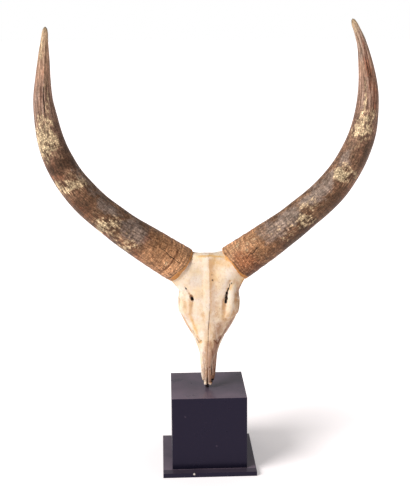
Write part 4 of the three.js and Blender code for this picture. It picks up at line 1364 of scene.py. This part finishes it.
    # At the root: pale flecks, thin dark lines round it, and the bare lip with its dark lines.
    root = node(tree, "MapRange", {"From Min": 0.24, "From Max": 0.08}, {"Value": read["along"]})
    fleck = node(tree, "MapRange", {"From Min": 0.57, "From Max": 0.68, "To Max": 0.5},
                 {"Value": noise["flake"]})
    flecks = node(tree, "Math", {"operation": "MULTIPLY"}, {0: root, 1: fleck})
    middle = node(tree, "Math", {"operation": "SUBTRACT", 1: 0.5}, {0: noise["ring"]})
    apart = node(tree, "Math", {"operation": "ABSOLUTE"}, {0: middle})
    thin = node(tree, "MapRange", {"From Min": 0.045, "From Max": 0.01, "To Max": 0.75},
                {"Value": apart})
    lines = node(tree, "Math", {"operation": "MULTIPLY"}, {0: root, 1: thin})
    low = node(tree, "MapRange", {"From Min": 0.40, "From Max": 0.22, "To Max": 0.6},
               {"Value": read["raised"]})
    worn = node(tree, "MapRange",
                {"From Min": 0.36, "From Max": 0.6, "To Min": 0.45, "To Max": 0.95},
                {"Value": noise["flake"]})
    bare = node(tree, "Math", {"operation": "MULTIPLY"}, {0: read["lip"], 1: worn})
    beside = node(tree, "Math", {"operation": "MULTIPLY", 1: 0.7}, {0: read["rimLine"]})
    split = node(tree, "MapRange", {"From Min": 0.25, "From Max": 0.7}, {"Value": read["crack"]})
    tints += [("fleck", flecks), ("line", lines), ("line", low), ("lip", bare), ("dark", beside),
              ("crack", split)]
    for tint, share in tints:
        colour = node(tree, "Mix", {"data_type": "RGBA", 7: linear(colours[tint])},
                      {0: share, 6: colour})

    # Fibres and rings stand up a little, and the crazing is sunk.
    relief = noise["flake"]
    for part, height in ((noise["fibre"], 0.7), (crazed, -0.8), (noise["ring"], 0.8)):
        relief = node(tree, "Math", {"operation": "MULTIPLY_ADD", 1: height}, {0: part, 2: relief})
    bump = node(tree, "Bump", {"Strength": 0.7, "Distance": 0.0012}, {"Height": relief})
    dull = node(tree, "MapRange", {"From Min": 0.3, "From Max": 0.7, "To Min": 0.40, "To Max": 0.62},
                {"Value": noise["flake"]})
    sheath = node(tree, "BsdfPrincipled",
                  {"IOR": 1.54, "Specular IOR Level": 0.34, "Specular Tint": linear(colours["gloss"])},
                  {"Base Color": colour, "Roughness": dull, "Normal": bump})
    node(tree, "OutputMaterial", {}, {"Surface": sheath})
    return material


weatheredHorn = hornMaterial()
for side in sides:
    sheath = buildHorn(side)
    sheath.data.materials.append(weatheredHorn)
    placePiece(sheath, "horn", "horn_" + side)
print("horns built")

stand = {
    "plateSide": 325, "plateThickness": 16, "blockSide": 260, "rod": 12,
    "rodFoot": 236.3, "rodTop": 508, "rodEase": 0.8, "rodSides": 48,
    "paint": "#181624", "dustAndSheen": "#937f8e", "sheen": "#d9c9f2", "board": "#e2d8cd", "steel": "#4a4140",
    # Wear as (x, y, z, mm wide, what shows, how much): scuffs on the block's front and a chip on
    # the plate's front edge.
    "wear": [(-84, -130, 211, 4.5, "dustAndSheen", 0.14), (24, -130, 100, 4.5, "dustAndSheen", 0.14),
             (-56, -162.5, 12, 5, "board", 0.95)],
}


# A slab with eased edges, its big faces divided so that the paint can be worn by place.
def easedSlab(name, low, high, ease, parts):
    mesh = bpy.data.meshes.new(name)
    work = bmesh.new()
    bmesh.ops.create_cube(work, size=1)
    size = [(b - a) * mm for a, b in zip(low, high)]
    middle = [(a + b) / 2 * mm for a, b in zip(low, high)]
    bmesh.ops.scale(work, vec=size, verts=work.verts)
    bmesh.ops.translate(work, vec=middle, verts=work.verts)
    bmesh.ops.bevel(work, geom=work.edges[:], offset=ease * mm, segments=3, affect="EDGES",
                    profile=0.6)
    big = [face for face in work.faces if face.calc_area() > 1e-4]    # m2, so not the eased edges
    edges = list({edge for face in big for edge in face.edges})
    bmesh.ops.subdivide_edges(work, edges=edges, cuts=parts, use_grid_fill=True)
    work.to_mesh(mesh)
    work.free()
    for polygon in mesh.polygons:
        polygon.use_smooth = True
    mesh.set_sharp_from_angle(angle=math.radians(50))
    return addObject(name, mesh)


# Satin black paint rolled on board: a soft sheen, a faint stipple, dust with painted sheen on what faces
# up, lighter towards the front edge, and small scuffs and chips that show the pale board.
def paintMaterial():
    material, tree = newMaterial("satin_black_paint")
    place = node(tree, "TexCoord").outputs["Object"]
    stipple = node(tree, "TexNoise", {"Scale": 1 / 0.0016, "Detail": 3}, {"Vector": place})
    cloud = node(tree, "TexNoise", {"Scale": 1 / 0.07, "Detail": 4}, {"Vector": place})
    geometry = node(tree, "NewGeometry")
    facing = node(tree, "SeparateXYZ", {}, {0: geometry.outputs["True Normal"]})
    # Dust and painted sheen: faces that look up are lighter, and more so towards the front edge.
    upward = node(tree, "MapRange", {"From Min": 0.6, "From Max": 1, "To Max": 0.5},
                  {"Value": facing.outputs["Z"]})
    back = node(tree, "SeparateXYZ", {}, {0: place}).outputs["Y"]
    front = node(tree, "MapRange", {"From Min": -0.03, "From Max": -0.13, "To Max": 0.55},
                 {"Value": back})
    # The plate's front strip gets less of the dust and painted sheen than the block's top.
    swept = node(tree, "MapRange",
                 {"From Min": -0.131, "From Max": -0.133, "To Min": 1, "To Max": 0.3},
                 {"Value": back})
    dustAndSheenShare = node(tree, "Math", {"operation": "ADD"}, {0: cloud, 1: front})
    for part in (upward, swept):
        dustAndSheenShare = node(tree, "Math", {"operation": "MULTIPLY"}, {0: dustAndSheenShare, 1: part})
    colour = node(tree, "Mix",
                  {"data_type": "RGBA", 6: linear(stand["paint"]), 7: linear(stand["dustAndSheen"])},
                  {0: dustAndSheenShare})
    # Scuffs and chips have ragged outlines, with nibbles of 4 mm.
    nibble = node(tree, "TexNoise", {"Scale": 1 / 0.004, "Detail": 3}, {"Vector": place})
    nibbled = node(tree, "Math", {"operation": "MULTIPLY_ADD", 1: 0.006, 2: -0.003}, {0: nibble})
    for x, y, z, wide, tint, most in stand["wear"]:
        away = node(tree, "VectorMath", {"operation": "DISTANCE", 1: (x * mm, y * mm, z * mm)},
                    {0: place})
        ragged = node(tree, "Math", {"operation": "ADD"}, {0: away, 1: nibbled})
        cover = node(tree, "MapRange",
                     {"From Min": wide * mm, "From Max": wide * 0.4 * mm, "To Max": most},
                     {"Value": ragged})
        colour = node(tree, "Mix", {"data_type": "RGBA", 7: linear(stand[tint])},
                      {0: cover, 6: colour})
    satin = node(tree, "MapRange",
                 {"From Min": 0.3, "From Max": 0.7, "To Min": 0.26, "To Max": 0.36},
                 {"Value": cloud})
    bump = node(tree, "Bump", {"Strength": 0.12, "Distance": 0.0003}, {"Height": stipple})
    coat = node(tree, "BsdfPrincipled",
                {"IOR": 1.5, "Specular IOR Level": 0.3, "Specular Tint": linear(stand["sheen"])},
                {"Base Color": colour, "Roughness": satin, "Normal": bump})
    node(tree, "OutputMaterial", {}, {"Surface": coat})
    return material


# Mild steel rod, cold drawn and blackened: dark, with a soft metal gleam along its length.
def steelMaterial():
    material, tree = newMaterial("blackened_steel")
    place = node(tree, "TexCoord").outputs["Object"]
    # Drawing lines 1 mm apart and 25 mm long, coarser than the real ones so that they show.
    drawn = node(tree, "Mapping", {"Scale": (900, 900, 40)}, {"Vector": place})
    lines = node(tree, "TexNoise", {"Scale": 1.0, "Detail": 3}, {"Vector": drawn})
    rough = node(tree, "MapRange", {"To Min": 0.32, "To Max": 0.55}, {"Value": lines})
    bump = node(tree, "Bump", {"Strength": 0.2, "Distance": 0.0002}, {"Height": lines})
    metal = node(tree, "BsdfPrincipled", {"Base Color": linear(stand["steel"]), "Metallic": 1},
                 {"Roughness": rough, "Normal": bump})
    node(tree, "OutputMaterial", {}, {"Surface": metal})
    return material


def buildRod():
    mesh = bpy.data.meshes.new("steel_rod")
    work = bmesh.new()
    foot, top, radius = stand["rodFoot"], stand["rodTop"], stand["rod"] / 2
    ease, around = stand["rodEase"], stand["rodSides"]
    rows = [(foot, radius - ease), (foot + ease, radius)]
    rows += [(z, radius) for z in np.linspace(foot + 20, top - 20, 9)]
    rows += [(top - ease, radius), (top, radius - ease)]
    turns = np.linspace(0, 2 * math.pi, around, endpoint=False)
    rings = [[work.verts.new(((rodPlace[0] + wide * math.cos(t)) * mm,
                              (rodPlace[1] + wide * math.sin(t)) * mm, z * mm)) for t in turns]
             for z, wide in rows]
    for lower, upper in zip(rings[:-1], rings[1:]):
        for k in range(around):
            after = (k + 1) % around
            work.faces.new((lower[k], lower[after], upper[after], upper[k]))
    work.faces.new(rings[0][::-1])
    work.faces.new(rings[-1])
    work.to_mesh(mesh)
    work.free()
    for polygon in mesh.polygons:
        polygon.use_smooth = True
    mesh.set_sharp_from_angle(angle=math.radians(40))
    return addObject("steel_rod", mesh)


satinPaint = paintMaterial()
plateHalf, blockHalf = stand["plateSide"] / 2, stand["blockSide"] / 2
blockFoot = stand["plateThickness"] + gap
plate = easedSlab("painted_plate", (-plateHalf, -plateHalf, 0),
                  (plateHalf, plateHalf, stand["plateThickness"]), 1.2, 6)
block = easedSlab("painted_block", (-blockHalf, -blockHalf, blockFoot),
                  (blockHalf, blockHalf, blockFoot + stand["blockSide"]), 1.4, 10)
for piece, target in ((plate, "mount_plate"), (block, "mount_block")):
    piece.data.materials.append(satinPaint)
    placePiece(piece, "black_paint", target)
rod = buildRod()
rod.data.materials.append(steelMaterial())
placePiece(rod, "dark_steel", "mount_rod")
print("stand built")
